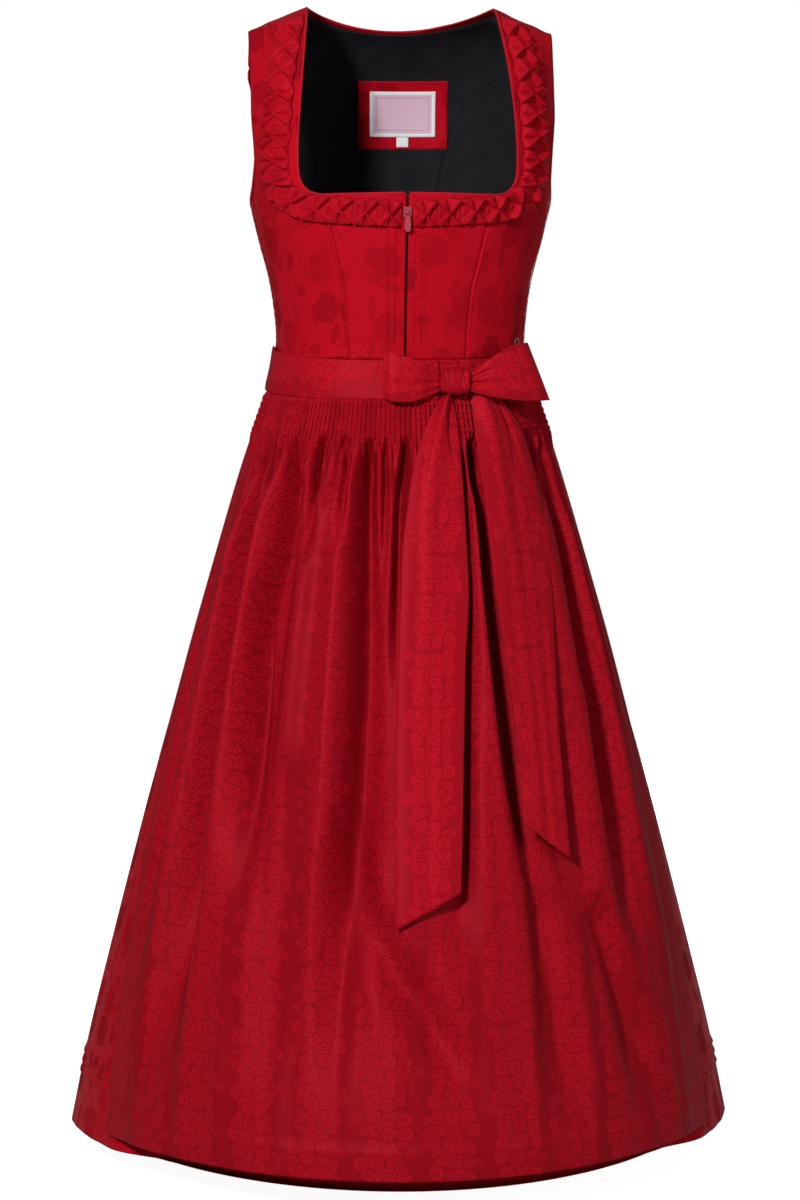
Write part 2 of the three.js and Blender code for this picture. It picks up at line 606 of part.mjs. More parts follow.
// One loop of the bow: out from the knot along the front, round the end and back behind
function bowLoop(name, rows, side, tilt) {
  const last = rows.length - 1;
  const nearKnot = rows[0].x;
  const path = [];
  for (let k = 0; k <= last; k++) path.push({ ...rows[k], face: 1 });
  path.push({ ...rows[last], half: 0, x: rows[last].x + side * 2.2, face: 1 });
  for (let k = last; k >= 0; k--) path.push({ ...rows[k], face: -1 });
  if (side < 0) path.reverse();
  const point = (row, v, into) => {
    const reach = Math.abs(row.x - nearKnot);
    const full = row.half * Math.sin(Math.PI * lerp(0.16, 0.84, v)) ** 0.6;
    const slant = side > 0 ? loopPlace.endSlant * (0.5 - v) * (reach / loopPlace.slantOver) : 0;
    const thin = Math.max(full - into, row.half === 0 ? 0 : 0.5);
    const x = row.x + slant - (row.half === 0 ? side * into : 0);
    const y = knot.y - loopPlace.forward * smooth(reach, 0, loopPlace.clearBy) + tilt * reach - row.face * thin;
    const height = lerp(row.bottom, row.top, v);
    return new THREE.Vector3(x, y, height);
  };
  const across = 5;
  const sheet = (into) => Array.from({ length: across + 1 }, (_, k) =>
    path.map((row, i) => ({ u: i / (path.length - 1), p: point(row, k / across, into) })));
  addMesh(name, wall(sheet(0), sheet(loopWall)), apronRed);
}

function addBow() {
  bowLoop("bow_loop_left", leftLoop, 1, loopPlace.leftTilt);
  bowLoop("bow_loop_right", rightLoop, -1, loopPlace.rightTilt);
  const shape = new THREE.SphereGeometry(1, 14, 9);
  shape.deleteAttribute("normal");
  shape.deleteAttribute("uv");
  const places = shape.attributes.position;
  const point = new THREE.Vector3();
  for (let i = 0; i < places.count; i++) {
    point.fromBufferAttribute(places, i);
    const wrap = 1 + 0.05 * Math.cos(5 * (point.y * 1.4 + point.x * 0.8));
    point.set(...point.toArray().map((c) => Math.sign(c) * Math.abs(c) ** 0.8)).multiplyScalar(wrap);
    // The sphere's poles lie along the band of the knot, which runs from top to bottom
    places.setXYZ(i, knot.x + knot.halfX * point.x, knot.y - knot.halfY * point.z, knot.z + knot.halfZ * point.y);
  }
  addMesh("bow_knot", shape, apronRed);
  for (const [name, rows, slant] of [["left", leftTail, tailSlant.left], ["right", rightTail, tailSlant.right]]) {
    const across = 4;
    const full = (u, z) => 4.5 * Math.sin(Math.PI * u) * (1 - smooth(-z, 345, 430))
      + 1.2 * Math.sin(Math.PI * 2 * u) * smooth(-z, 380, 450);
    const higher = slant > 0 ? 1 : 0;
    const sheet = (distance) => [...rows].reverse().map((r, k) => rowOf(across, (u) => {
      const z = r.z + (k === 0 ? slant * (u - higher) : 0);
      const x = lerp(r.right, r.left, u);
      const raised = (tailSewn - tailIn) * (1 - smooth(-z, 346, 380));
      return layerPoint(frontAngle(x, z), z, distance + raised + Math.max(0, full(u, z)));
    }));
    addMesh(`bow_tail_${name}`, wall(sheet(tailIn + tailWall), sheet(tailIn)), apronRed);
  }
}

// Union of closed shapes as one solid
const library = await Module();
library.setup();
function solidOf(geometry) {
  const bare = geometry.clone();
  for (const key of Object.keys(bare.attributes)) if (key !== "position") bare.deleteAttribute(key);
  const merged = mergeVertices(bare, 1e-4);
  return new library.Manifold(new library.Mesh({
    numProp: 3,
    vertProperties: merged.attributes.position.array,
    triVerts: new Uint32Array(merged.index.array),
  }));
}
function joined(...geometries) {
  const mesh = geometries.map(solidOf).reduce((a, b) => a.add(b)).getMesh();
  return new THREE.BufferGeometry()
    .setAttribute("position", new THREE.BufferAttribute(mesh.vertProperties, 3))
    .setIndex(new THREE.BufferAttribute(mesh.triVerts, 1));
}

// Zip: tapes and chain behind the opening, the slider in front of it and its hanging pull tab
function addZip() {
  const heights = [...frontRows.map((r) => r.outer).slice(0, -1), zip.top];
  const places = [-zip.tapeHalf, -zip.chainHalf - 0.2, -zip.chainHalf, zip.chainHalf, zip.chainHalf + 0.2,
    zip.tapeHalf];
  const sheet = (outer) => heights.map((z) => places.map((x, k) => ({
    u: k / (places.length - 1),
    p: layerPoint(frontAngle(x + zipX, z), z,
      outer ? liningOut + (Math.abs(x) <= zip.chainHalf ? zip.chainRise - seamGap : 0) : liningIn),
  })));
  addMesh("zip_tape", wall(sheet(true), sheet(false)), zipRed);

  // The slider's own frame: the hinge line through its middle along X, and -Y out from the dress
  const fitting = new THREE.Group();
  const at = frontAngle(zipX, slider.z);
  const face = layerPoint(at, slider.z, 0);
  const away = layerPoint(at, slider.z, seamGap + slider.thick + slider.standOff);
  fitting.position.copy(away);
  fitting.rotation.x = -Math.atan2(away.z - face.z, face.y - away.y);
  root.add(fitting);
  const plate = new THREE.BoxGeometry(slider.width, slider.thick, slider.height, 1, 1, 1);
  plate.translate(0, slider.standOff + slider.thick / 2, 0);
  const outline = new THREE.Shape();
  outline.moveTo(-arch.outer, -slider.standOff - 0.2);
  outline.lineTo(-arch.outer, 0);
  outline.absarc(0, 0, arch.outer, Math.PI, 0, true);
  outline.lineTo(arch.outer, -slider.standOff - 0.2);
  outline.lineTo(arch.inner, -slider.standOff - 0.2);
  outline.lineTo(arch.inner, 0);
  outline.absarc(0, 0, arch.inner, 0, Math.PI, false);
  outline.lineTo(-arch.inner, -slider.standOff - 0.2);
  const loop = new THREE.ExtrudeGeometry(outline, { depth: 2 * arch.half, bevelEnabled: false, curveSegments: 8 });
  // The outline's x runs up the slider and its y out from the dress
  loop.translate(0, 0, -arch.half);
  loop.applyMatrix4(new THREE.Matrix4().makeBasis(
    new THREE.Vector3(0, 0, 1), new THREE.Vector3(0, -1, 0), new THREE.Vector3(1, 0, 0)));
  addMesh("zip_slider", joined(plate, loop), zipRed, fitting);

  // The tab: a bar through the arch, two arms beside it, and the drop that they join
  const flank = new THREE.SplineCurve(pullFlank.map(({ half, down }) => new THREE.Vector2(half, -down)));
  const leftOf = flank.getPoints(8);
  const rightOf = leftOf.slice(0, -1).reverse().map((p) => new THREE.Vector2(-p.x, p.y));
  const thick = 2 * pull.barRadius;
  const drop = new THREE.ExtrudeGeometry(new THREE.Shape([...leftOf, ...rightOf]), {
    depth: thick,
    bevelEnabled: false,
  });
  drop.translate(0, 0, -pull.barRadius);
  drop.rotateX(Math.PI / 2);
  const bar = new THREE.BoxGeometry(2 * pull.armOut, thick, thick);
  const arms = [1, -1].map((side) => {
    const armHeight = pull.openTo + pull.barRadius + 0.6;
    const arm = new THREE.BoxGeometry(pull.armOut - pull.armIn, thick, armHeight);
    arm.translate(side * (pull.armOut + pull.armIn) / 2, 0, pull.barRadius - armHeight / 2);
    return arm;
  });
  const tab = addMesh("zip_pull", joined(drop, bar, ...arms), zipRed, fitting);
  // It hangs plumb from the leaning slider
  tab.rotation.x = -fitting.rotation.x;
}

// Things that lie flat on the cloth: the label with its patch and tag, and the wire ring
function addLabels() {
  const flat = (name, material, { x, z, halfX, halfZ }, out, into, columns) => {
    const sheet = (distance) => rowsAcross.map((edge) => rowOf(columns, (u) => {
      const height = z + edge * halfZ;
      // Going round the back with the angle, x falls
      const at = lerp(x + halfX, x - halfX, u);
      return layerPoint(backAngle(at, height), height, distance);
    }));
    addMesh(name, wall(sheet(out), sheet(into)), material);
  };
  flat("label_patch", dressRed, patch, patchOut, patchIn, 8);
  flat("label", labelPink, label, labelOut, labelIn, 6);
  flat("size_tag", labelWhite, sizeTag, labelOut, labelIn, 2);

  const ring = new THREE.TorusGeometry(wireRing.radius, wireRing.wire, 6, 20);
  const angle = frontAngle(wireRing.x, wireRing.z);
  const seat = layerPoint(angle, wireRing.z, wireRing.wire + wireRing.seat);
  const onFace = layerPoint(angle, wireRing.z, 0);
  const placed = addMesh("side_ring", ring, steel);
  placed.position.copy(seat);
  placed.lookAt(seat.clone().multiplyScalar(2).sub(onFace));
}

addBodice();
addTrim();
addSkirt();
addApron();
addSash();
addBow();
addZip();
addLabels();

export default root;
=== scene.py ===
# A sleeveless dirndl with its apron, filled out as it is worn: cloth, trims and fittings.
# Blender works in metres; the tables and the form below are in millimetres, as in the CAD.
import math

import bmesh
import bpy
import numpy as np
from mathutils import Matrix, Vector


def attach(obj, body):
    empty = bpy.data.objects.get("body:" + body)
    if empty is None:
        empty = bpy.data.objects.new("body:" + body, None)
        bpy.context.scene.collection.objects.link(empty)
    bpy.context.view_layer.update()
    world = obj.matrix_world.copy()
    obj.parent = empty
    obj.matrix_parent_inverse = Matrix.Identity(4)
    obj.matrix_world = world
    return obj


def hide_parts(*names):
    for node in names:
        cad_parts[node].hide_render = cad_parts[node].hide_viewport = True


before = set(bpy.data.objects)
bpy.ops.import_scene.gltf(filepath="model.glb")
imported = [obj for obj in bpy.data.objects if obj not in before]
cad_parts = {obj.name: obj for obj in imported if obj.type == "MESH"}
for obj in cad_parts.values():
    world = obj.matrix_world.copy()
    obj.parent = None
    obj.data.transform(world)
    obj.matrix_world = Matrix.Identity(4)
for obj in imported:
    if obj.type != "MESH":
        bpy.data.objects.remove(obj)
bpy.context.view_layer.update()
mm = 0.001

# form of the dress
# z, half width, depth in front, depth behind, power of the sine, power of the cosine
sectionRows = np.array([
    (0, 142, 1.4, 1.4, 0.91, 0.91),
    (-2, 142, 14, 17, 0.91, 0.91),
    (-6, 142, 25, 36, 0.91, 0.91),
    (-14, 142, 39, 58, 0.91, 0.91),
    (-30, 142, 59, 78, 0.91, 0.91),
    (-60, 142, 87, 97, 0.91, 0.91),
    (-90, 142, 103, 103, 0.91, 0.91),
    (-120, 140, 112, 104, 0.91, 0.91),
    (-150, 137, 116, 101, 0.91, 0.91),
    (-172, 134, 115, 99, 0.91, 0.91),
    (-205, 126.5, 109, 94, 0.91, 0.91),
    (-240, 117.3, 101, 88, 0.91, 0.91),
    (-276, 112, 94, 82, 0.91, 0.91),
    (-300, 111.2, 90.5, 80, 0.92, 0.93),
    (-320, 113.5, 91, 83, 0.94, 0.96),
    (-345, 121, 97, 92, 0.97, 1.02),
    (-402, 141, 112, 112, 0.99, 1.15),
    (-479, 164.5, 134, 138, 1, 1.25),
    (-551, 185.5, 156, 163, 1, 1.25),
    (-624, 205.5, 178, 188, 1, 1.25),
    (-697, 226, 200, 212, 1, 1.25),
    (-771, 245.5, 222, 234, 1, 1.25),
    (-845, 264.5, 243, 254, 1, 1.25),
    (-919, 283, 262, 270, 1, 1.25),
    (-998, 299.5, 276, 285, 1, 1.25),
])
shoulder = {"neckX": 83, "armX": 135, "drop": 22, "fadesAt": -150}
waistSeam = -310
skirtHem = -998
apronHem = -986
neckBottom = -168.5
zipX = -2.5
zipGap = 3.6


def smooth(x, low, high):
    t = np.clip((np.asarray(x, float) - low) / (high - low), 0, 1)
    return t * t * (3 - 2 * t)


def lerp(a, b, t):
    return a + (b - a) * t


def curveThrough(places, values, at):
    # a smooth value through a table's rows, in rising or falling order
    places = np.asarray(places, float)
    values = np.asarray(values, float)
    if places[0] > places[-1]:
        places, values = places[::-1], values[::-1]
    at = np.clip(np.asarray(at, float), places[0], places[-1])
    last = len(places) - 1
    i = np.clip(np.searchsorted(places, at, side="left") - 1, 0, last - 1)
    before = np.maximum(np.arange(last + 1) - 1, 0)
    after = np.minimum(np.arange(last + 1) + 1, last)
    slope = (values[after] - values[before]) / (places[after] - places[before])
    span = places[i + 1] - places[i]
    s = (at - places[i]) / span
    chord = (values[i + 1] - values[i]) / span
    bend = s * (1 - s) * span
    uneven = (1 - s) * (slope[i] - chord) - s * (slope[i + 1] - chord)
    return lerp(values[i], values[i + 1], s) + bend * uneven


def section(column, z):
    return curveThrough(sectionRows[:, 0], sectionRows[:, column], z)


def dressPoint(angle, height):
    # the outer face of the dress: 0 degrees is the front, 90 the wearer's left
    angle, height = np.broadcast_arrays(np.asarray(angle, float), np.asarray(height, float))
    s = np.sin(np.radians(angle))
    c = np.cos(np.radians(angle))
    x = section(1, height) * np.sign(s) * np.abs(s) ** section(4, height)
    deep = np.where(c > 0, section(2, height), section(3, height))
    y = -np.sign(c) * deep * np.abs(c) ** section(5, height)
    out = np.clip((np.abs(x) - shoulder["neckX"]) / (shoulder["armX"] - shoulder["neckX"]), 0, 1)
    z = height - shoulder["drop"] * out * smooth(height, shoulder["fadesAt"], -5)
    return np.stack([x, y, z], axis=-1)


def outward(angle, height):
    along = dressPoint(angle + 0.4, height) - dressPoint(angle - 0.4, height)
    up = dressPoint(angle, np.minimum(height + 0.4, 0)) - dressPoint(angle, height - 0.4)
    normal = np.cross(along, up)
    return normal / np.linalg.norm(normal, axis=-1, keepdims=True)


def layerPoint(angle, height, out):
    angle, height, out = np.broadcast_arrays(
        np.asarray(angle, float), np.asarray(height, float), np.asarray(out, float))
    return dressPoint(angle, height) + outward(angle, height) * out[..., None]


def frontAngle(x, height):
    share = np.minimum(np.abs(x) / section(1, height), 1)
    return np.sign(x) * np.degrees(np.arcsin(share ** (1 / section(4, height))))


def backAngle(x, height):
    return 180 - frontAngle(x, height)


def ripple(u, v, seed):
    # a slow uneven swell between about -1 and 1, the same on every run
    total = 0
    for k in range(1, 5):
        a, b, c = (math.sin(seed * 12.9 + k * f) * 2 for f in (3.1, 5.7, 7.3))
        sway = 0.8 * np.sin(v * (0.7 * k + 0.4) + c * 2)
        total = total + np.sin(u * (1.3 + 1.7 * k + a) + b * 3 + sway) / (k + 0.5)
    return total / 1.6


# materials
def newMaterial(name, color, roughness, **sockets):
    material = bpy.data.materials.new(name)
    material.use_nodes = True
    tree = material.node_tree
    shader = tree.nodes["Principled BSDF"]
    shader.inputs["Base Color"].default_value = (*color, 1)
    shader.inputs["Roughness"].default_value = roughness
    for key, value in sockets.items():
        shader.inputs[key].default_value = value
    return material, tree, shader


def addNode(tree, kind, links=(), **settings):
    node = tree.nodes.new(kind)
    for key, value in settings.items():
        setattr(node, key, value)
    for key, value in dict(links).items():
        if isinstance(value, bpy.types.NodeSocket):
            tree.links.new(value, node.inputs[key])
        else:
            node.inputs[key].default_value = value
    return node


def calc(tree, operation, first, second=0.0):
    return addNode(tree, "ShaderNodeMath", {0: first, 1: second}, operation=operation).outputs[0]


def plus(tree, first, second):
    return calc(tree, "ADD", first, second)


def minus(tree, first, second):
    return calc(tree, "SUBTRACT", first, second)


def times(tree, first, second):
    return calc(tree, "MULTIPLY", first, second)


def larger(tree, first, second):
    return calc(tree, "MAXIMUM", first, second)


def absolute(tree, value):
    return calc(tree, "ABSOLUTE", value)


def sine(tree, value):
    return calc(tree, "SINE", value)


def ramp(tree, value, low, high, first=0.0, last=1.0):
    node = addNode(tree, "ShaderNodeMapRange", {
        "Value": value, "From Min": low, "From Max": high, "To Min": first, "To Max": last,
    }, interpolation_type="SMOOTHSTEP")
    return node.outputs["Result"]


def blendColor(tree, share, first, second):
    node = addNode(tree, "ShaderNodeMix", {"Factor": share}, data_type="RGBA")
    for socket, value in ((node.inputs[6], first), (node.inputs[7], second)):
        if isinstance(value, bpy.types.NodeSocket):
            tree.links.new(value, socket)
        else:
            socket.default_value = (*value, 1)
    return node.outputs[2]


def clothCoords(tree):
    return addNode(tree, "ShaderNodeUVMap", uv_map="cloth").outputs["UV"]


def scaled(tree, vector, across, along, shiftX=0.0, shiftY=0.0):
    node = addNode(tree, "ShaderNodeMapping", {
        "Vector": vector, "Scale": (across, along, 1), "Location": (shiftX, shiftY, 0)})
    return node.outputs[0]


def blossoms(tree, vector, randomness):
    # one blossom in each cell: its centre, and the turned and polar place inside it
    cell = addNode(tree, "ShaderNodeTexVoronoi", {
        "Vector": vector, "Scale": 1.0, "Randomness": randomness}, voronoi_dimensions="2D")
    tint = addNode(tree, "ShaderNodeSeparateColor", {"Color": cell.outputs["Color"]})
    local = addNode(tree, "ShaderNodeVectorMath", {
        0: vector, 1: cell.outputs["Position"]}, operation="SUBTRACT").outputs[0]
    turned = addNode(tree, "ShaderNodeVectorRotate", {
        "Vector": local, "Angle": times(tree, tint.outputs[0], 6.283)}, rotation_type="Z_AXIS")
    place = addNode(tree, "ShaderNodeSeparateXYZ", {0: turned.outputs[0]})
    centre = addNode(tree, "ShaderNodeSeparateXYZ", {0: cell.outputs["Position"]})
    radius = addNode(tree, "ShaderNodeVectorMath", {0: local}, operation="LENGTH")
    x, y = place.outputs[0], place.outputs[1]
    return {
        "x": x, "y": y, "radius": radius.outputs["Value"], "turn": calc(tree, "ARCTAN2", y, x),
        "pick": tint.outputs[1], "centreX": centre.outputs[0], "centreY": centre.outputs[1],
    }


def weaveBump(tree, vector, shader, pitch, strength, extra=None):
    # fine crossing threads, with the pattern's slight relief on top
    warp = addNode(tree, "ShaderNodeTexWave", {
        "Vector": vector, "Scale": 1 / pitch / 6.283 * 3.14, "Distortion": 0.6, "Detail": 1.0},
        bands_direction="DIAGONAL")
    noise = addNode(tree, "ShaderNodeTexNoise", {"Vector": vector, "Scale": 900.0, "Detail": 2.0})
    threads = times(tree, warp.outputs["Fac"], 0.5)
    height = plus(tree, threads, times(tree, noise.outputs["Fac"], 0.7))
    if extra is not None:
        height = plus(tree, height, extra)
    bump = addNode(tree, "ShaderNodeBump", {"Height": height, "Strength": strength, "Distance": 0.0002})
    tree.links.new(bump.outputs[0], shader.inputs["Normal"])


redGloss = {"Specular IOR Level": 0.06, "Specular Tint": (1, 0.16, 0.2, 1)}
satinGloss = {"Specular IOR Level": 0.26, "Specular Tint": (1, 0.1, 0.14, 1)}
satin = {
    "ground": (0.46, 0.0045, 0.0135),
    "motif": (0.31, 0.003, 0.009),
    "line": (0.2, 0.002, 0.006),
    "leafCell": 0.021,
    "roseCell": 0.052,
}


def makeSatin():
    material, tree, shader = newMaterial("dressSatin", satin["ground"], 0.42, **redGloss)
    cloth = clothCoords(tree)
    wobble = addNode(tree, "ShaderNodeTexNoise", {"Vector": cloth, "Scale": 60.0, "Detail": 2.0})
    level = addNode(tree, "ShaderNodeVectorMath", {
        0: wobble.outputs["Color"], 1: (0.5, 0.5, 0.5)}, operation="SUBTRACT")
    moved = addNode(tree, "ShaderNodeVectorMath", {0: level.outputs[0], "Scale": 0.005}, operation="SCALE")
    warped = addNode(tree, "ShaderNodeVectorMath", {
        0: cloth, 1: moved.outputs[0]}, operation="ADD").outputs[0]

    # leaves: a pointed oval with a toothed edge and a midrib
    leafCells = scaled(tree, warped, 1 / satin["leafCell"], 1 / satin["leafCell"] * 0.82)
    leaf = blossoms(tree, leafCells, 0.85)
    lengthwise = calc(tree, "DIVIDE", leaf["x"], 0.43)
    taper = minus(tree, 1.0, times(tree, lengthwise, lengthwise))
    teeth = times(tree, sine(tree, times(tree, leaf["x"], 70.0)), 0.012)
    leafEdge = plus(tree, times(tree, taper, 0.23), teeth)
    leafIn = minus(tree, leafEdge, absolute(tree, leaf["y"]))
    leafMask = ramp(tree, leafIn, 0.0, 0.02)
    leafMask = times(tree, leafMask, ramp(tree, leaf["pick"], 0.28, 0.3))
    midrib = times(tree, leafMask, ramp(tree, absolute(tree, leaf["y"]), 0.0, 0.02, 1, 0))

    # roses: a lobed round with rows of petals drawn inside it
    roseCells = scaled(tree, warped, 1 / satin["roseCell"], 1 / satin["roseCell"], 0.3, 0.1)
    rose = blossoms(tree, roseCells, 0.7)
    lobes = times(tree, sine(tree, times(tree, rose["turn"], 6.0)), 0.025)
    roseEdge = plus(tree, 0.27, lobes)
    roseIn = minus(tree, roseEdge, rose["radius"])
    roseMask = ramp(tree, roseIn, 0.0, 0.012)
    swirl = plus(tree, times(tree, rose["radius"], 62.0), times(tree, rose["turn"], 2.0))
    petals = ramp(tree, absolute(tree, sine(tree, swirl)), 0.0, 0.22, 1, 0)
    petals = times(tree, petals, roseMask)

    # thin vines and leaf outlines between them
    vines = addNode(tree, "ShaderNodeTexVoronoi", {
        "Vector": scaled(tree, warped, 46.0, 34.0, 0.7, 0.2), "Scale": 1.0, "Randomness": 1.0},
        voronoi_dimensions="2D", feature="DISTANCE_TO_EDGE")
    vineMask = ramp(tree, vines.outputs["Distance"], 0.008, 0.02, 1, 0)
    patchy = addNode(tree, "ShaderNodeTexNoise", {"Vector": cloth, "Scale": 16.0, "Detail": 1.0})
    vineMask = times(tree, vineMask, ramp(tree, patchy.outputs["Fac"], 0.45, 0.55))

    motif = larger(tree, leafMask, roseMask)
    veins = plus(tree, times(tree, absolute(tree, leaf["y"]), 60.0),
                 times(tree, leaf["x"], 45.0))
    veins = ramp(tree, sine(tree, veins), 0.2, 0.9)
    motif = minus(tree, motif, times(tree, times(tree, veins, leafMask), 0.55))
    shade = times(tree, motif, ramp(tree, rose["pick"], 0.2, 0.8, 0.42, 0.9))
    color = blendColor(tree, shade, satin["ground"], satin["motif"])
    lines = larger(tree, times(tree, vineMask, 0.6), times(tree, petals, 0.6))
    lines = larger(tree, lines, times(tree, midrib, 0.5))
    color = blendColor(tree, lines, color, satin["line"])
    tree.links.new(color, shader.inputs["Base Color"])
    tree.links.new(ramp(tree, motif, 0, 1, 0.4, 0.6), shader.inputs["Roughness"])
    weaveBump(tree, cloth, shader, 0.0008, 0.12, times(tree, motif, -0.5))
    return material


daisies = {
    "ground": (0.275, 0.003, 0.009),
    "bloom": (0.41, 0.0046, 0.0136),
    "line": (0.17, 0.0018, 0.0052),
    "bandPitch": 0.048,
    "layers": ((0.0116, 11.0, 0.0, 0.31), (0.008, 8.0, 3.7, 0.37)),
}


def makeDaisyCloth(name, shiftX=0.0, paintedLight=1.0):
    # paintedLight scales all its colours: above 1 it makes a lighter copy of the same cloth, which is painted
    # light
    ground, bloomColor, lineColor = (
        tuple(c * paintedLight for c in daisies[key]) for key in ("ground", "bloom", "line"))
    material, tree, shader = newMaterial(name, ground, 0.5, **satinGloss)
    cloth = clothCoords(tree)
    masks = []
    lines = []
    for cell, petalsAround, shiftY, bandHalf in daisies["layers"]:
        cells = scaled(tree, cloth, 1 / cell, 1 / cell, shiftX / cell + shiftY, shiftY)
        bloom = blossoms(tree, cells, 0.62)
        # a whole blossom is in or out of its swaying band, by its centre
        u = times(tree, minus(tree, bloom["centreX"], shiftY), cell / daisies["bandPitch"])
        sway = times(tree, sine(tree, times(tree, bloom["centreY"], cell * 115)), 0.05)
        fromMiddle = minus(tree, calc(tree, "FRACT", plus(tree, u, sway)), 0.5)
        inBand = calc(tree, "LESS_THAN", absolute(tree, fromMiddle), bandHalf)
        size = plus(tree, times(tree, bloom["pick"], 0.08), 0.5)
        rays = calc(tree, "COSINE", times(tree, bloom["turn"], petalsAround))
        edge = times(tree, size, plus(tree, 0.92, times(tree, rays, 0.08)))
        inside = minus(tree, edge, bloom["radius"])
        mask = times(tree, ramp(tree, inside, 0.0, 0.04), inBand)
        # clefts between the petals, a rim where blossoms meet, and a ring round the eye
        cleft = times(tree, ramp(tree, rays, -0.95, -0.2, 1, 0), ramp(tree, bloom["radius"], 0.14, 0.2))
        meeting = addNode(tree, "ShaderNodeTexVoronoi", {"Vector": cells, "Scale": 1.0, "Randomness": 0.62},
                          voronoi_dimensions="2D", feature="DISTANCE_TO_EDGE").outputs["Distance"]
        rim = ramp(tree, calc(tree, "MINIMUM", inside, meeting), 0.03, 0.075, 1, 0)
        ring = ramp(tree, absolute(tree, minus(tree, bloom["radius"], 0.13)), 0.02, 0.05, 1, 0)
        drawn = larger(tree, larger(tree, times(tree, cleft, 0.75), rim), ring)
        masks.append(mask)
        lines.append(times(tree, drawn, mask))
    big, small = masks
    mask = larger(tree, big, times(tree, small, 0.9))
    line = larger(tree, lines[0], times(tree, lines[1], minus(tree, 1.0, big)))
    color = blendColor(tree, mask, ground, bloomColor)
    color = blendColor(tree, times(tree, line, 0.72), color, lineColor)
    tree.links.new(color, shader.inputs["Base Color"])
    tree.links.new(ramp(tree, mask, 0, 1, 0.5, 0.54), shader.inputs["Roughness"])
    weaveBump(tree, cloth, shader, 0.0007, 0.12, times(tree, minus(tree, mask, line), 0.6))
    return material


def makePlainCloth(name, color, darker, roughness, pitch, strength, **sockets):
    material, tree, shader = newMaterial(name, color, roughness, **sockets)
    cloth = clothCoords(tree)
    cloudy = addNode(tree, "ShaderNodeTexNoise", {"Vector": cloth, "Scale": 60.0, "Detail": 3.0})
    mixed = blendColor(tree, ramp(tree, cloudy.outputs["Fac"], 0.35, 0.7), color, darker)
    tree.links.new(mixed, shader.inputs["Base Color"])
    weaveBump(tree, cloth, shader, pitch, strength)
    return material


def makeSolid(name, color, roughness, grain, **sockets):
    # moulded plastic, metal and thread, on the piece's own coordinates
    material, tree, shader = newMaterial(name, color, roughness, **sockets)
    own = addNode(tree, "ShaderNodeTexCoord").outputs["Object"]
    noise = addNode(tree, "ShaderNodeTexNoise", {"Vector": own, "Scale": grain, "Detail": 3.0})
    tree.links.new(ramp(tree, noise.outputs["Fac"], 0.3, 0.7, roughness * 0.85, roughness * 1.2),
                   shader.inputs["Roughness"])
    bump = addNode(tree, "ShaderNodeBump", {
        "Height": noise.outputs["Fac"], "Strength": 0.1, "Distance": 0.0001})
    tree.links.new(bump.outputs[0], shader.inputs["Normal"])
    return material


def makeLabelCloth():
    # a white woven border round a pink field with one thin plain line
    material, tree, shader = newMaterial("labelCloth", (0.9, 0.88, 0.88), 0.6)
    cloth = clothCoords(tree)
    place = addNode(tree, "ShaderNodeSeparateXYZ", {0: cloth})
    fromSide = minus(tree, 0.031, absolute(tree, place.outputs[0]))
    fromEnd = minus(tree, 0.0215, absolute(tree, place.outputs[1]))
    inset = calc(tree, "MINIMUM", fromSide, fromEnd)
    field = ramp(tree, inset, 0.003, 0.0034)
    line = ramp(tree, absolute(tree, minus(tree, inset, 0.0062)), 0.0002, 0.0005, 1, 0)
    color = blendColor(tree, field, (0.88, 0.87, 0.87), (0.72, 0.46, 0.57))
    color = blendColor(tree, times(tree, line, 0.6), color, (0.32, 0.2, 0.24))
    tree.links.new(color, shader.inputs["Base Color"])
    weaveBump(tree, cloth, shader, 0.0006, 0.2)
    return material


dressSatin = makeSatin()
apronCloth = makeDaisyCloth("apronDaisies")
# the sash, bow knot, loops and tails use the apron's daisy cloth painted 1.22 times lighter: painted light,
# not a lighter cloth
sashClothPaintedLight = makeDaisyCloth("sashDaisiesPaintedLight", 0.012, 1.22)
trimSatin = makePlainCloth(
    "trimSatin", (0.47, 0.0065, 0.017), (0.39, 0.0045, 0.0135), 0.45, 0.0008, 0.12, **redGloss)
pipingSatin = makePlainCloth(
    "pipingSatin", (0.52, 0.012, 0.026), (0.44, 0.008, 0.02), 0.38, 0.0008, 0.1, **redGloss)
liningCloth = makePlainCloth(
    "liningCloth", (0.0125, 0.0128, 0.0155), (0.0095, 0.0097, 0.012), 0.8, 0.0009, 0.15,
    **{"Specular IOR Level": 0.1})
# the zip's tape and coil are coloured an almost black red: painted shade of the narrow gap between the
# fronts, over a zip that is red
tapeClothPaintedShade = makePlainCloth(
    "zipTapePaintedShade", (0.05, 0.002, 0.004), (0.03, 0.0015, 0.003), 0.8, 0.001, 0.3, **redGloss)
labelCloth = makeLabelCloth()
tagCloth = makePlainCloth("tagCloth", (0.86, 0.86, 0.86), (0.8, 0.8, 0.82), 0.6, 0.0006, 0.2)
redThread = makeSolid("redThread", (0.22, 0.0025, 0.007), 0.5, 4000.0, **redGloss)
hemThread = makeSolid("hemThread", (0.4, 0.006, 0.016), 0.5, 4000.0, **redGloss)
whiteThread = makeSolid("whiteThread", (0.8, 0.8, 0.8), 0.6, 4000.0)
pullEnamel = makeSolid(
    "pullEnamel", (0.38, 0.05, 0.075), 0.25, 900.0, **{"Coat Weight": 0.6, "Coat Roughness": 0.1})
ringMetal = makeSolid("ringMetal", (0.72, 0.71, 0.7), 0.22, 2500.0, **{"Metallic": 1.0})
# the coil is painted shade too: a near-black red for a red coil that lies in the gap
coilPaintedShade = makeSolid("coilPaintedShade", (0.1, 0.003, 0.007), 0.45, 3000.0, **redGloss)
print("materials made")

# pieces of cloth


def vertexPlaces(mesh):
    places = np.empty(len(mesh.vertices) * 3)
    mesh.vertices.foreach_get("co", places)
    return places.reshape(-1, 3)


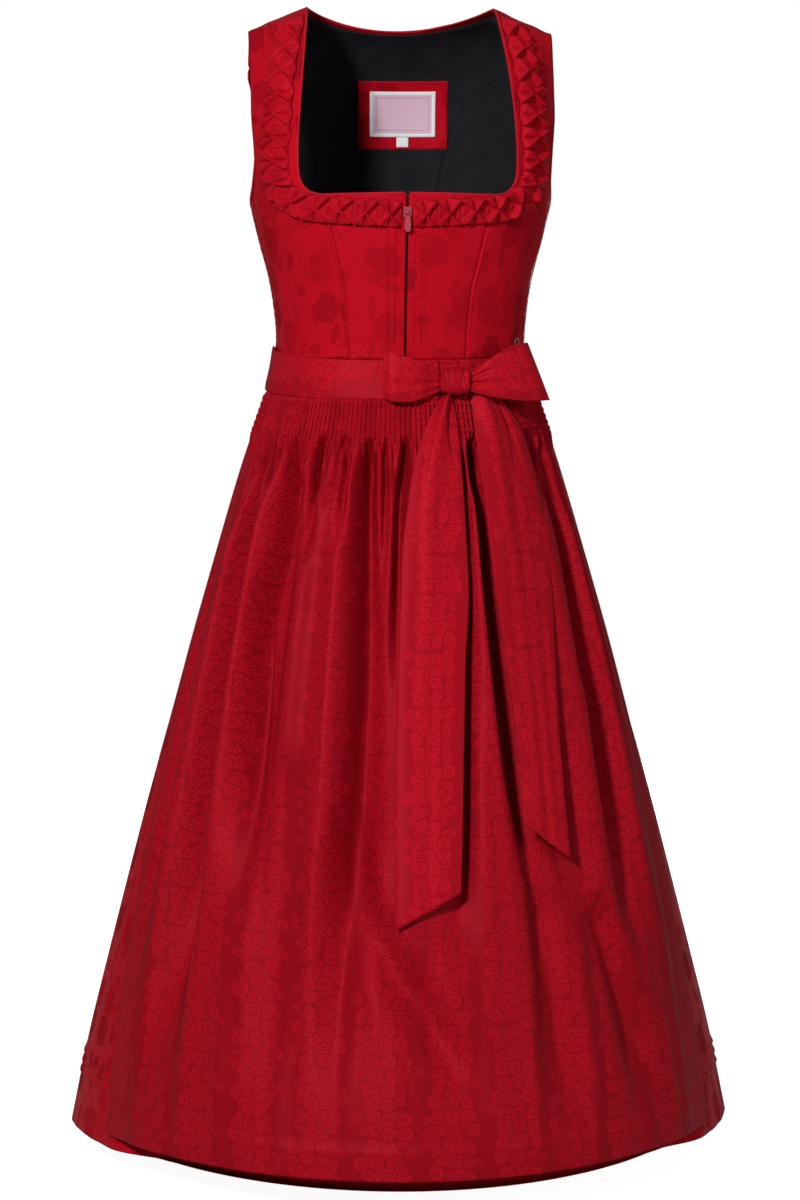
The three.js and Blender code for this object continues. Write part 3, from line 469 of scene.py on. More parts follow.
def clothUv(mesh, pattern):
    corners = np.empty(len(mesh.loops), dtype=np.int32)
    mesh.loops.foreach_get("vertex_index", corners)
    layer = mesh.uv_layers.new(name="cloth")
    layer.data.foreach_set("uv", (np.asarray(pattern) * mm)[corners].ravel())


def smoothFaces(mesh):
    mesh.polygons.foreach_set("use_smooth", [True] * len(mesh.polygons))


def meshOf(bm, name):
    mesh = bpy.data.meshes.new(name)
    bm.to_mesh(mesh)
    bm.free()
    return mesh


def intoScene(name, data):
    thing = bpy.data.objects.new(name, data)
    bpy.context.scene.collection.objects.link(thing)
    return thing


def dressUp(piece, material, replaces=()):
    piece.data.materials.clear()
    piece.data.materials.append(material)
    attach(piece, "dress")
    if replaces:
        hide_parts(*replaces)


def clothSheet(name, columns, rows, shape, material, slot, thickness, replaces):
    # a grid whose vertices go where shape(u, v) puts them, with a wall behind it
    bm = bmesh.new()
    bmesh.ops.create_grid(bm, x_segments=columns, y_segments=rows, size=1)
    mesh = meshOf(bm, name)
    flat = vertexPlaces(mesh)
    places, pattern = shape((flat[:, 0] + 1) / 2, (flat[:, 1] + 1) / 2)
    mesh.vertices.foreach_set("co", (np.asarray(places) * mm).ravel())
    clothUv(mesh, pattern)
    smoothFaces(mesh)
    mesh.update()
    piece = intoScene(name, mesh)
    wall = piece.modifiers.new("wall", "SOLIDIFY")
    wall.thickness = thickness * mm
    wall.offset = -1
    dressUp(piece, material, replaces)
    return piece


def fromBmesh(bm, name, material, smoothed=True, replaces=()):
    mesh = meshOf(bm, name)
    if smoothed:
        smoothFaces(mesh)
    piece = intoScene(name, mesh)
    dressUp(piece, material, replaces)
    return piece


def addBlock(bm, here, sides):
    # a block about a place, with the three given vectors as its sides
    turned = Matrix(sides).transposed() * mm
    bmesh.ops.create_cube(bm, size=1, matrix=Matrix.Translation(Vector(here * mm)) @ turned.to_4x4())


# bodice and lining
frontRows = [(51, -310, -310), (51.5, -297, -297), (52.5, -279, -279), (55, -252, -252), (60, -230, -229),
             (67, -200, -199), (72, -182, -181), (76.5, -169.5, -168.5)]
sideFrontRows = [
    (51, -310, 90, -310), (51.5, -297, 90, -298), (52.5, -279, 90, -282), (55, -252, 90, -256),
    (60, -230, 90, -232), (67, -200, 90, -208), (72, -182, 90, -190), (76.5, -169.5, 90, -176),
    (85.5, -167, 84, -170), (91.5, -161, 77, -163), (95, -150, 72.5, -152), (95.5, -125, 70, -127),
    (93.5, -94, 69.5, -97), (91, -66, 69.5, -70), (88, -38, 70, -42), (85.5, -18, 70.5, -20),
    (84, -6, 71, -7), (83, -2, 71, -2), (83, 0, 71, 0)]
sideBackRows = [
    (30, -310, 90, -310), (30.5, -297, 90, -298), (32, -270, 90, -275), (36, -225, 90, -236),
    (40, -185, 90, -203), (41.5, -157, 90, -176), (45, -135, 97.5, -168), (51, -113, 106, -156),
    (59, -92, 113, -132), (75, -71, 116, -104), (95, -54, 115.5, -78), (118, -42, 112.5, -54),
    (129, -36, 109.5, -42)]
backRows = [(30, -310), (30.5, -297), (32, -270), (36, -225), (40, -185), (41.5, -157), (45, -135),
            (51, -113), (59, -92), (75, -71), (95, -54), (118, -42), (129, -36), (134, -30), (134, -16),
            (134, -6), (134, -2), (134, 0)]
backNeck = {"halfWidth": 83, "depth": 15, "from": 36}
bodice = {"seamGap": -0.1, "seamSink": 0.9, "seamReach": 1.7, "pucker": 0.26, "puckerReach": 7,
          "swell": 1.0, "wall": 1.2, "cut": 1.12, "zipEdge": 1.2}
lining = {"out": -3.6, "wall": 0.9, "swell": 0.35, "zipEdge": 12, "below": -2, "rows": 60}


def neckDip(angle, height):
    x = dressPoint(angle, -10)[..., 0]
    upper = np.maximum(0, 1 + height / backNeck["from"]) ** 2
    return upper * backNeck["depth"] * np.maximum(0, 1 - (x / backNeck["halfWidth"]) ** 2)


def panelShape(rows, side, out, seams, swell, dips=False, shift=(0, 0)):
    # rows are (angle, height, angle, height) at the two edges; seams say up to which row each is sewn
    gap = bodice["seamGap"]
    table = np.array(rows, float)
    if side < 0:
        table = np.stack([-table[:, 2], table[:, 3], -table[:, 0], table[:, 1]], axis=1)
        seams = seams[::-1]
    middle = (table[:, 1] + table[:, 3]) / 2
    steps = np.abs(np.diff(middle)) + 1.5
    length = np.concatenate([[0], np.cumsum(steps)]) / steps.sum()
    order = np.arange(len(table))

    def shape(u, v):
        t = np.interp(v, length, order)
        a, az, b, bz = (curveThrough(order, table[:, k], t) for k in range(4))
        a = a + np.degrees(gap / section(1, az))
        b = b - np.degrees(gap / section(1, bz))
        angle = lerp(a, b, u)
        level = lerp(az, bz, u)
        height = level - (neckDip(angle, level) if dips else 0)
        width = np.radians(np.abs(b - a)) * section(1, height)
        sink = 0
        for distance, sewnTo in ((u * width, seams[0]), ((1 - u) * width, seams[1])):
            sewn = 1 - smooth(t, sewnTo - 0.5, sewnTo)
            near = np.exp(-(distance / bodice["seamReach"]) ** 2)
            wavy = np.sin(height * 0.9 + 2 * np.sin(height * 0.13))
            wavy = wavy * np.exp(-(distance / bodice["puckerReach"]) ** 2)
            sink = sink + sewn * (bodice["seamSink"] * near - bodice["pucker"] * wavy)
        soft = swell * ripple(angle * 0.05, height * 0.035, 2.0) * np.minimum(1, width * u * (1 - u) / 8)
        places = layerPoint(angle, height, out - np.where(out >= 0, sink, 0) + soft)
        pattern = np.stack([angle * 2.25 + shift[0], height + shift[1]], axis=-1)
        return places, pattern
    return shape


def makePanel(part, rows, inner, side, grid, linedColumns, seams, dips=False, shift=(0, 0)):
    # a panel of the bodice and the panel of lining behind it
    outerShape = panelShape(rows, side, 0, seams, bodice["swell"], dips, shift)
    piece = clothSheet(f"bodice_{part}_cloth", *grid, outerShape, dressSatin, "dress_cloth", bodice["wall"],
                       [f"bodice_{part}"])
    inner = [row for row in inner if min(row[1], row[3]) <= lining["below"]]
    innerShape = panelShape(inner, side, lining["out"], (-1, -1), lining["swell"], dips)
    piece = clothSheet(f"lining_{part}_cloth", linedColumns, lining["rows"], innerShape, liningCloth,
                       "lining_cloth", lining["wall"], [f"lining_{part}"])


def makeBodice():
    sideFront = [(float(frontAngle(x, z)), z, a, b) for x, z, a, b in sideFrontRows]
    sideBack = [(a, b, float(backAngle(x, z)), z) for x, z, a, b in sideBackRows]
    # the side back panel ends in a point at the shoulder's outer edge
    tip = float(backAngle(134, -30))
    sideBack.append((tip - 0.05, -31.2, tip + 0.05, -30.2))
    back = [(float(backAngle(x, z)), z, 360 - float(backAngle(x, z)), z) for x, z in backRows]

    def front(edge):
        return [(float(frontAngle(edge, o)), o, float(frontAngle(x, z)), z) for x, z, o in frontRows]

    # which row each edge is sewn up to: none of them, or all
    never, always = -1, 99
    for sideName, side in (("left", 1), ("right", -1)):
        shift = (side * 17, 11 if side > 0 else -23)
        zipEdge = front(bodice["zipEdge"] + side * zipX)
        linedEdge = front(lining["zipEdge"] + side * zipX)
        makePanel(f"front_{sideName}", zipEdge, linedEdge, side, (40, 90), 24, (never, always),
                  shift=shift)
        makePanel(f"side_front_{sideName}", sideFront, sideFront, side, (40, 112), 24, (7.4, 7.4),
                  shift=shift)
        makePanel(f"side_back_{sideName}", sideBack, sideBack, side, (40, 90), 24, (5.4, always),
                  shift=shift)
    makePanel("back", back, back, 1, (90, 100), 60, (12.5, 12.5), True, (40, 5))


makeBodice()
print("bodice made")

# skirt
tucks = {"first": -935, "pitch": 8.7, "count": 3, "lip": 1.5, "slope": 6.5}
backFolds = [
    (101, 103, -330, -800, 3.4, 6), (112, 116, -325, -980, 4, 11), (124, 127, -325, -640, 3.2, 8),
    (135, 139, -325, -998, 4.4, 14), (147, 149, -325, -720, 3.4, 10), (158, 161, -325, -998, 4.2, 13),
    (170, 171, -325, -860, 3.6, 11), (181, 183, -325, -998, 4.4, 14), (192, 191, -325, -690, 3.4, 10),
    (203, 200, -325, -998, 4.2, 13), (214, 211, -325, -780, 3.6, 10), (226, 222, -325, -998, 4.4, 14),
    (237, 234, -325, -660, 3.2, 8), (248, 245, -325, -960, 4, 11), (259, 257, -330, -760, 3.4, 6)]
apronEdges = np.array([(-316, 80), (-590, 79.5), (-690, 75), (-786, 71.5), (-892, 66.5), (-986, 62)], float)
skirt = {"wall": 1.1, "sunk": 40, "gather": 1.3, "gathers": 44, "lap": 0.03, "width": 1.3, "cut": 1.35}


def foldDepth(folds, angle, height):
    # soft troughs that lean from their top to their bottom angle: top, bottom, from, to, width, depth
    total = np.zeros(np.broadcast(angle, height).shape)
    for top, bottom, start, end, width, depth in folds:
        v = (start - height) / (start - end)
        inside = (v > 0) & (v < 1)
        vv = np.clip(v, 0, 1)
        middle = lerp(top, bottom, vv ** 0.7)
        strength = smooth(vv, 0, 0.08) * (1 - smooth(vv, 0.45, 1))
        total = total + np.where(inside, depth * strength * np.exp(-(((angle - middle) / width) ** 2)), 0)
    return total


def lineDepth(folds, angle, height):
    # soft troughs along lines of angles and heights, with a width on each side and a depth
    total = np.zeros(np.broadcast(angle, height).shape)
    for line, before, after, depth in folds:
        line = np.array(line, float)
        share = (line[0, 1] - height) / (line[0, 1] - line[-1, 1])
        beyond = angle - curveThrough(line[:, 1], line[:, 0], height)
        width = np.where(beyond < 0, before, after) * lerp(0.85, 1.5, np.clip(share, 0, 1))
        strength = smooth(share, 0, 0.06) * (1 - smooth(share, 0.55, 1))
        total = total + depth * strength * np.exp(-np.abs(beyond / width) ** 1.9)
    return total


def apronEdge(height):
    return curveThrough(apronEdges[:, 0], apronEdges[:, 1], height)


def sunkBehind(angle, height):
    edge = apronEdge(height)
    inside = 1 - smooth(np.abs(angle), edge - 14, edge - 1)
    down = smooth(-height, 348, 400) * (1 - 0.35 * smooth(-height, 900, 990))
    return inside * down


def tuckLip(height):
    total = 0
    for k in range(tucks["count"]):
        z = tucks["first"] - k * tucks["pitch"]
        on = (height >= z - 0.01) & (height < z + tucks["slope"] - 0.01)
        total = total + np.where(on, tucks["lip"] * (1 - (height - z) / tucks["slope"]), 0)
    return total


def skirtHeights():
    # rows from the hem up, close together at the tucks and under the waist
    rows = [skirtHem, -996, -990, -983, -975, -970.5, -970, -960]
    for k in range(tucks["count"] - 1, -1, -1):
        z = tucks["first"] - k * tucks["pitch"]
        rows += [z - 0.6, z - 0.3, z + 0.05, z + 1.6, z + 3.4, z + 5, z + 6.4]
    rows = sorted(rows)
    rows += list(np.linspace(-922, -420, 46)) + list(np.linspace(-410, waistSeam - 0.4, 22))
    return np.array(rows)


def skirtShape(first, last, isFront):
    heights = skirtHeights()
    order = np.linspace(0, 1, len(heights))

    def shape(u, v):
        height = np.interp(v, order, heights)
        angle = lerp(first, last, u)
        gatherFade = smooth(-height, 312, 340) * (1 - smooth(-height, 380, 560))
        wave = np.sin(np.radians(angle) * skirt["gathers"] + 1.6 * np.sin(np.radians(angle) * 7))
        small = skirt["gather"] * gatherFade * wave
        soft = 1.6 * smooth(-height, 420, 760) * ripple(angle * 0.11, height * 0.004, 5.0)
        toSeam = np.minimum(np.abs(angle - first), np.abs(angle - last))
        level = small + soft * smooth(toSeam, 0, 8)
        if isFront:
            out = level * 0.6 * (1 - sunkBehind(angle, height)) - skirt["sunk"] * sunkBehind(angle, height)
        else:
            near = smooth(angle, 92, 104) * (1 - smooth(angle, 256, 268))
            out = level * near - near * foldDepth(backFolds, angle, height)
        seam = 0.8 * np.exp(-(toSeam / 0.5) ** 2)
        out = out + tuckLip(height) - seam
        places = layerPoint(angle, height, out)
        pattern = np.stack([angle * 5.0, height], axis=-1)
        return places, pattern
    return shape, len(heights) - 1


def makeSkirt():
    for name, first, last, columns in (("front", -90, 90, 200), ("back", 90, 270, 320)):
        # the two widths lap a little at the side seams
        shape, rows = skirtShape(first - skirt["lap"], last + skirt["lap"], name == "front")
        piece = clothSheet(f"skirt_{name}_cloth", columns, rows, shape, dressSatin, "dress_cloth",
                           skirt["wall"], [f"skirt_{name}"])


makeSkirt()
print("skirt made")

# sash and waistband
sash = {"sideMiddle": -318, "frontDip": 10.5, "sideHalf": 19, "frontHalf": 17.3, "tilt": 4,
        "inner": 1.1, "outer": 3.5, "wall": 1.0, "width": 0.037}


def inFront(angle):
    return np.maximum(0, np.cos(np.radians(angle))) ** 0.6


def sashMiddle(angle):
    return sash["sideMiddle"] - sash["frontDip"] * inFront(angle)


def sashHalf(angle):
    return lerp(sash["sideHalf"], sash["frontHalf"], inFront(angle))


def bandHalf(angle):
    return sashHalf(angle) - 2


def bandShape(first, last, out, middle, half, crease):
    # crease: soft lengthwise folds, deeper towards the end that is pulled into the knot
    def shape(u, v):
        angle = lerp(first, last, u)
        across = 2 * v - 1
        height = middle(angle) + across * half(angle)
        rolled = 0.7 * np.abs(across) ** 6
        swell = 0.7 * (1 - across ** 2)
        folds = crease(angle, across) if crease else 0
        soft = 0.25 * ripple(angle * 0.13, across * 1.5, 3.0)
        places = layerPoint(angle, height, out - rolled + swell + folds + soft)
        pattern = np.stack([height + 326, angle * 2.0], axis=-1)
        return places, pattern
    return shape


def makeSash():
    def pulled(knotAngle, reach):
        def crease(angle, across):
            near = np.exp(-np.abs(angle - knotAngle) / reach)
            upper = np.exp(-((across - 0.28) / 0.16) ** 2)
            lower = np.exp(-((across + 0.3) / 0.14) ** 2)
            return -1.7 * near * (upper + lower)
        return crease

    def crossing(way):
        return lambda angle: sash["sideMiddle"] + way * sash["tilt"] * np.sin(np.radians(angle * 2))

    def sideHalf(angle):
        return sash["sideHalf"]

    inner, outer = sash["inner"], sash["outer"]
    band, behind, before = "apron_waistband", "skirt_back", "skirt_front"
    pieces = (
        (band, before, -80, 80, inner, sashMiddle, bandHalf, None, 160, 10),
        ("sash_front_right", band, -89.7, 12, outer, sashMiddle, sashHalf, pulled(14, 14), 160, 36),
        ("sash_front_left", band, 22, 89.7, outer, sashMiddle, sashHalf, pulled(20, 8), 110, 36),
        ("sash_back_under", behind, 90.3, 269.7, inner, crossing(1), sideHalf, None, 200, 24),
        ("sash_back_over", behind, 90.3, 269.7, outer, crossing(-1), sideHalf, None, 200, 30))
    for name, rests, first, last, out, middle, half, crease, columns, rows in pieces:
        shape = bandShape(first, last, out, middle, half, crease)
        piece = clothSheet(f"{name}_cloth", columns, rows, shape, sashClothPaintedLight, "apron_cloth",
                           sash["wall"], [name])


makeSash()
print("sash made")

# apron
# the line of each fold as angles and heights from its top, its width to either side, and its depth
apronFolds = [
    ([(-74, -374), (-80, -410), (-78, -490), (-74, -590), (-66, -760), (-62, -900)], 2.4, 2, 20),
    ([(-62, -374), (-64, -425), (-62, -488), (-60, -556), (-58, -625), (-55.5, -692), (-53.5, -760),
      (-53, -861), (-52, -975)], 3.4, 3.2, 44),
    ([(-48, -374), (-46, -423), (-44.7, -478), (-46.4, -526), (-44, -587), (-41.2, -654), (-38.5, -720),
      (-37, -820)], 2.2, 2.8, 32),
    ([(-41, -400), (-40, -560), (-36, -760)], 4, 5, 10),
    ([(-56.8, -374), (-57, -399), (-56, -440)], 1, 1.1, 12),
    ([(-44.6, -374), (-43.8, -405), (-43, -445)], 0.9, 1.1, 9),
    ([(-33, -374), (-34.8, -401), (-33.8, -425), (-32, -500)], 1.5, 2, 20),
    ([(-24.8, -374), (-22.5, -411), (-22, -480)], 1.3, 1.5, 17),
    ([(-16, -374), (-14.6, -448), (-13.2, -516), (-12.6, -582), (-13, -648), (-13.1, -697), (-15.2, -762),
      (-15.5, -880), (-15, -950)], 2.8, 3.4, 44),
    ([(-7, -400), (-6, -560), (-6, -760)], 4, 7, 20),
    ([(-8.6, -374), (-8.8, -420), (-9.2, -520)], 1, 1.2, 8),
    ([(-1.5, -374), (-3.5, -435), (-4.2, -489), (-5, -600)], 1.3, 2, 20),
    ([(17, -380), (16.3, -440), (13.1, -553), (9.7, -660), (7.8, -757), (7, -850)], 3.2, 2.2, 36),
    ([(24, -370), (23.6, -450), (23.2, -550), (23.6, -650), (25, -740), (27, -850)], 2, 4, 36),
    ([(36, -400), (35, -560), (33, -900)], 3, 3.4, 16),
    ([(53, -370), (57.4, -425), (58.2, -471), (56.4, -516), (54.4, -572), (54.4, -614), (52.4, -654),
      (50, -740), (47, -850)], 2.8, 3.6, 46),
    ([(61, -372), (62, -410), (62, -470)], 1.2, 1.4, 9),
    ([(70, -376), (69, -470), (66, -620)], 1.6, 2.4, 14),
    ([(-15, -690), (-13, -746), (-6, -809), (1.2, -857), (6, -905), (7, -960)], 3.6, 2.6, 24),
    ([(-31, -640), (-29, -780), (-28, -975)], 3.6, 4, 13),
    ([(26, -760), (26.2, -850), (26.5, -975)], 3.4, 3, 17),
    ([(40, -775), (43, -861), (45.2, -975)], 3.4, 3, 17)]
apronRidges = [
    (20.3, 18, -410, -800, 2.4, 8), (-6.5, -6.5, -380, -560, 1.6, 4), (-53.5, -44.5, -400, -986, 2.6, 8),
    (-69, -58, -400, -986, 3, 5), (-21.5, -20, -390, -860, 3.2, 11), (-31, -30, -400, -900, 5, 9),
    (46, 44, -420, -986, 5, 6), (64, 57, -420, -986, 4, 6)]
apron = {"out": 2.2, "wall": 0.9, "ribs": 86, "from": 5, "to": 38, "ribHeight": 1.9, "stitchRows": 6,
         "clothWidth": 900, "cut": 1.25, "creases": 37, "creaseLengths": [26, 40, 64, 105]}


def drawCreases():
    # creases that start at the smocking: share across, length, depth
    draws = np.random.default_rng(11)
    creases = []
    for k in range(1, apron["creases"] + 1):
        at = (k + draws.uniform(-0.33, 0.33)) / (apron["creases"] + 1)
        long = draws.choice(apron["creaseLengths"]) * draws.uniform(0.8, 1.2)
        creases.append((at, long, draws.uniform(5, 10)))
    return creases


def bandFoot(angle):
    return sashMiddle(angle) - bandHalf(angle)


def apronHeights():
    rows = [apronHem, -984.5, -980, -972, -964, -960.6, -960, -952]
    rows += list(np.linspace(-940, -450, 36)) + list(np.linspace(-441, -388, 14))
    return np.array(rows)


def ribbing(u, below):
    # smocked ribs, pinched at each row of stitches, that open into gathers
    rib = 1 - np.abs(np.sin(np.pi * apron["ribs"] * u)) ** 0.9 * 1.9
    pitch = (apron["to"] - apron["from"]) / apron["stitchRows"]
    pinch = 0.5 + 0.5 * np.cos(2 * np.pi * (below - apron["from"]) / pitch)
    share = smooth(below, 1.5, 5) * (1 - smooth(below, apron["to"] - 2, apron["to"] + 16))
    return apron["ribHeight"] * share * (0.45 + rib * (1 - 0.45 * pinch ** 3 * (below < apron["to"])))


def makeApron():
    heights = apronHeights()
    # above the free rows come the smocked ones, counted down from the waistband's foot
    downs = np.concatenate([np.linspace(apron["to"] + 4, apron["from"], 34), [3.4, 1.8, 0.4]])
    rows = len(heights) + len(downs) - 1
    order = np.linspace(0, 1, rows + 1)
    creases = drawCreases()
    start = apron["to"] - 3

    def shape(u, v):
        k = np.interp(v, order, np.arange(rows + 1))
        free = k < len(heights) - 0.5
        z = np.interp(k, np.arange(len(heights)), heights)
        down = np.interp(k - len(heights), np.arange(len(downs)), downs)
        edge = np.where(free, apronEdge(z), 80.0)
        angle = lerp(-edge, edge, u)
        height = np.where(free, z, bandFoot(angle) - down)
        # where the free rows begin they follow the dip of the band
        blend = smooth(height, -440, -388) * free
        dipped = bandFoot(angle) - lerp(60, apron["to"] + 8, smooth(z, -420, -388))
        height = np.where(free, lerp(z, dipped, blend), height)
        below = bandFoot(angle) - height
        crease = 0
        for at, long, deep in creases:
            share = np.clip((below - start) / long, 0, 1)
            wide = lerp(0.0042, 0.013, share ** 0.8) * (0.7 + long / 300)
            lean = (at - 0.5) * 0.02 * share
            profile = np.exp(-(np.abs(u - at - lean) / wide) ** 1.3)
            fade = smooth(share, 0, 0.08) * (1 - smooth(share, 0.3, 1)) * (share > 0)
            crease = crease + deep * profile * fade
        wide = np.sin(2 * np.pi * 14 * u + 1.9 * np.sin(2 * np.pi * 3 * u + 1))
        wideShare = smooth(below, 60, 140) * (1 - smooth(below, 240, 520))
        small = 1.6 * smooth(below, start, start + 14) * (1 - smooth(below, 90, 200))
        small = small - crease + 2 * wideShare * wide
        soft = 2 * smooth(below, 200, 480) * ripple(u * 21, height * 0.006, 7.0)
        nearEdge = 1 - smooth(np.abs(angle), edge - 12, edge - 2)
        # no fold goes deeper than the skirt that lies behind
        deepest = skirt["sunk"] * 0.93
        folds = deepest * np.tanh(lineDepth(apronFolds, angle, height) / skirt["sunk"])
        level = apron["out"] + foldDepth(apronRidges, angle, height) * nearEdge
        level = level + 1.3 * smooth(-height, 880, 925) + 3.5 * smooth(-height, 880, 986) * nearEdge
        room = np.clip(sunkBehind(angle, height), 0, 1)
        out = level - folds * room + ribbing(u, below) + (small + soft) * room
        out = out + 0.45 * smooth(-height, 959.8, 960.5)
        places = layerPoint(angle, height, out)
        pattern = np.stack([(u - 0.5) * apron["clothWidth"] * 0.62 + 6, height], axis=-1)
        return places, pattern

    piece = clothSheet("apron_cloth_front", apron["ribs"] * 6, rows, shape, apronCloth, "apron_cloth",
                       apron["wall"], ["apron"])


makeApron()
print("apron made")

# bow
knot = {"x": 40, "y": -101, "z": -329, "halfX": 13.2, "halfY": 9.7, "halfZ": 10.8}
loopPlace = {"forward": 7, "clearBy": 22, "leftTilt": 0.42, "rightTilt": 0.02, "endSlant": 19,
             "slantOver": 60, "wall": 1.0}
rightLoop = [(26.5, -320, -338, 2.5), (16, -314, -342, 3.5), (2, -309.5, -346.5, 5.5), (-10, -305, -347, 6),
             (-17, -303, -346, 5), (-21, -303, -344, 2.5), (-23.2, -303, -344, 0)]
leftLoop = [(53.3, -320, -338, 3), (66, -313.5, -342, 5), (82, -305, -345, 7), (97, -298.5, -346.5, 8),
            (108, -296.5, -346.5, 6.5), (113, -296, -346, 3), (115.2, -296, -346, 0)]
rightTail = [(-344, 27, 36), (-359, 18, 39), (-381, 9, 41), (-410, 1, 43), (-440, -4, 44.5),
             (-476, -9, 45.5), (-514, -11, 46), (-566, -14, 42), (-630, -17, 39), (-700, -20, 36),
             (-757, -21, 33)]
leftTail = [(-342, 52, 74), (-354, 53, 85), (-370, 54.5, 95), (-396, 57, 104), (-425, 61.5, 111),
            (-455, 64, 116), (-495, 68, 120), (-553, 75, 121), (-610, 82, 122), (-660, 87.5, 124),
            (-706, 89, 129)]
tail = {"in": 6, "sewn": 4.7, "wall": 1.1, "leftSlant": -31, "rightSlant": 29}


def loopShape(rows, side, tilt, creases):
    table = np.array(rows, float)
    last = len(table) - 1
    order = np.arange(last + 1)

    def shape(u, v):
        # u runs from the knot along the front face, round the end and back behind
        s = u if side > 0 else 1 - u
        share = 1 - np.abs(2 * s - 1)
        face = np.where(s <= 0.5, 1.0, -1.0)
        k = last * np.clip(share, 0, 1) ** 0.9
        x, top, bottom, half = (curveThrough(order, table[:, c], k) for c in range(4))
        reach = np.abs(x - table[0, 0])
        full = np.maximum(half, 0) * np.sin(np.pi * lerp(0.16, 0.84, v)) ** 0.6
        slant = loopPlace["endSlant"] * (0.5 - v) * (reach / loopPlace["slantOver"]) if side > 0 else 0
        crease = 0
        for at, spread, depth, fade in creases:
            lineV = 0.5 + (at - 0.5) * (1 + reach / 60)
            across = (v - lineV) / (spread * (1 + reach / 40))
            crease = crease + depth * np.exp(-reach / fade) * np.exp(-across ** 2)
        thin = np.maximum(full - crease * (face > 0), 0.45 * (half > 0.3))
        forward = loopPlace["forward"] * smooth(reach, 0, loopPlace["clearBy"])
        y = knot["y"] - forward + tilt * reach - face * thin
        soft = 0.5 * ripple(reach * 0.09 + 3 * face, v * 4, 9.0) * smooth(half, 0, 3)
        z = lerp(bottom, top, v)
        places = np.stack([x + slant, y - soft, z], axis=-1)
        pattern = np.stack([(v - 0.5) * 44 + 10, reach * face + 20], axis=-1)
        return places, pattern
    return shape


def tailShape(rows, slant, folds):
    table = np.array(rows, float)[::-1]
    higher = 1 if slant > 0 else 0
    lows = np.concatenate([[0], np.cumsum(np.abs(np.diff(table[:, 0])))])
    lows = lows / lows[-1]

    def shape(u, v):
        z = curveThrough(lows, table[:, 0], v)
        right = curveThrough(lows, table[:, 1], v)
        left = curveThrough(lows, table[:, 2], v)
        z = z + slant * (u - higher) * np.clip(1 - v / 0.12, 0, 1)
        x = lerp(right, left, u)
        full = 4.5 * np.sin(np.pi * u) * (1 - smooth(-z, 345, 430))
        full = full + 1.2 * np.sin(2 * np.pi * u) * smooth(-z, 380, 450)
        raised = (tail["sewn"] - tail["in"]) * (1 - smooth(-z, 346, 380))
        bends = 0
        for at, toward, spread, depth, until in folds:
            fade = 1 - smooth(-z, 345, until)
            middle = lerp(at, toward, smooth(-z, 345, until))
            bends = bends + depth * fade * np.exp(-((u - middle) / spread) ** 2)
        if slant > 0:
            # the part beyond the fold line lies folded behind
            line = lerp(0.52, 1.1, smooth(-z, 340, 460))
            bends = bends - 4.5 * smooth(u - line, -0.01, 0.05)
            bends = bends - 2.4 * np.exp(-((u - 0.62) / 0.14) ** 2 - ((z + 446) / 12) ** 2)
        soft = 0.63 * ripple(u * 3.1, z * 0.012, 11.0) * smooth(-z, 380, 470)
        edge = -0.5 * (np.abs(2 * u - 1) ** 10)
        out = tail["in"] + tail["wall"] + 0.6 + raised + np.maximum(0, full + bends) + soft + edge
        places = layerPoint(frontAngle(x, z), z, out)
        pattern = np.stack([(u - 0.5) * (left - right) + 12, z], axis=-1)
        return places, pattern
    return shape


def makeKnot():
    # a short band wrapped over the middle of the bow, with folds that run over it
    bm = bmesh.new()
    bmesh.ops.create_uvsphere(bm, u_segments=72, v_segments=48, radius=1)
    points = np.array([v.co for v in bm.verts])
    rounder = np.sign(points) * np.abs(points) ** 0.72
    # a wide wrap on the picture's left and a narrow one on its right, each with folds along it
    across = rounder[:, 0] + 0.12 * np.cos(rounder[:, 2] * 1.6)
    parting = 0.24 * np.exp(-((across - 0.5) / 0.08) ** 2)
    folds = 0.085 * np.cos(13 * across + 1.6 * rounder[:, 2])
    folds = folds + 0.035 * np.cos(29 * across - 2.4 * rounder[:, 2])
    front = smooth(-rounder[:, 1], -0.2, 0.3)
    grow = 1 + (folds - parting) * front * (1 - np.abs(rounder[:, 0]) ** 6)
    places = np.stack([
        knot["x"] + (knot["halfX"] + 0.9) * rounder[:, 0] * (1 - 0.06 * np.cos(rounder[:, 2] * 3)),
        knot["y"] + (knot["halfY"] + 0.6) * rounder[:, 1] * grow,
        knot["z"] + (knot["halfZ"] + 1.2) * rounder[:, 2] * (1 + (folds - parting) * 0.4)], axis=-1)
    for vertex, place in zip(bm.verts, places):
        vertex.co = Vector(place * mm)
    piece = fromBmesh(bm, "bow_knot_cloth", sashClothPaintedLight, replaces=["bow_knot"])
    clothUv(piece.data, places[:, [0, 2]])


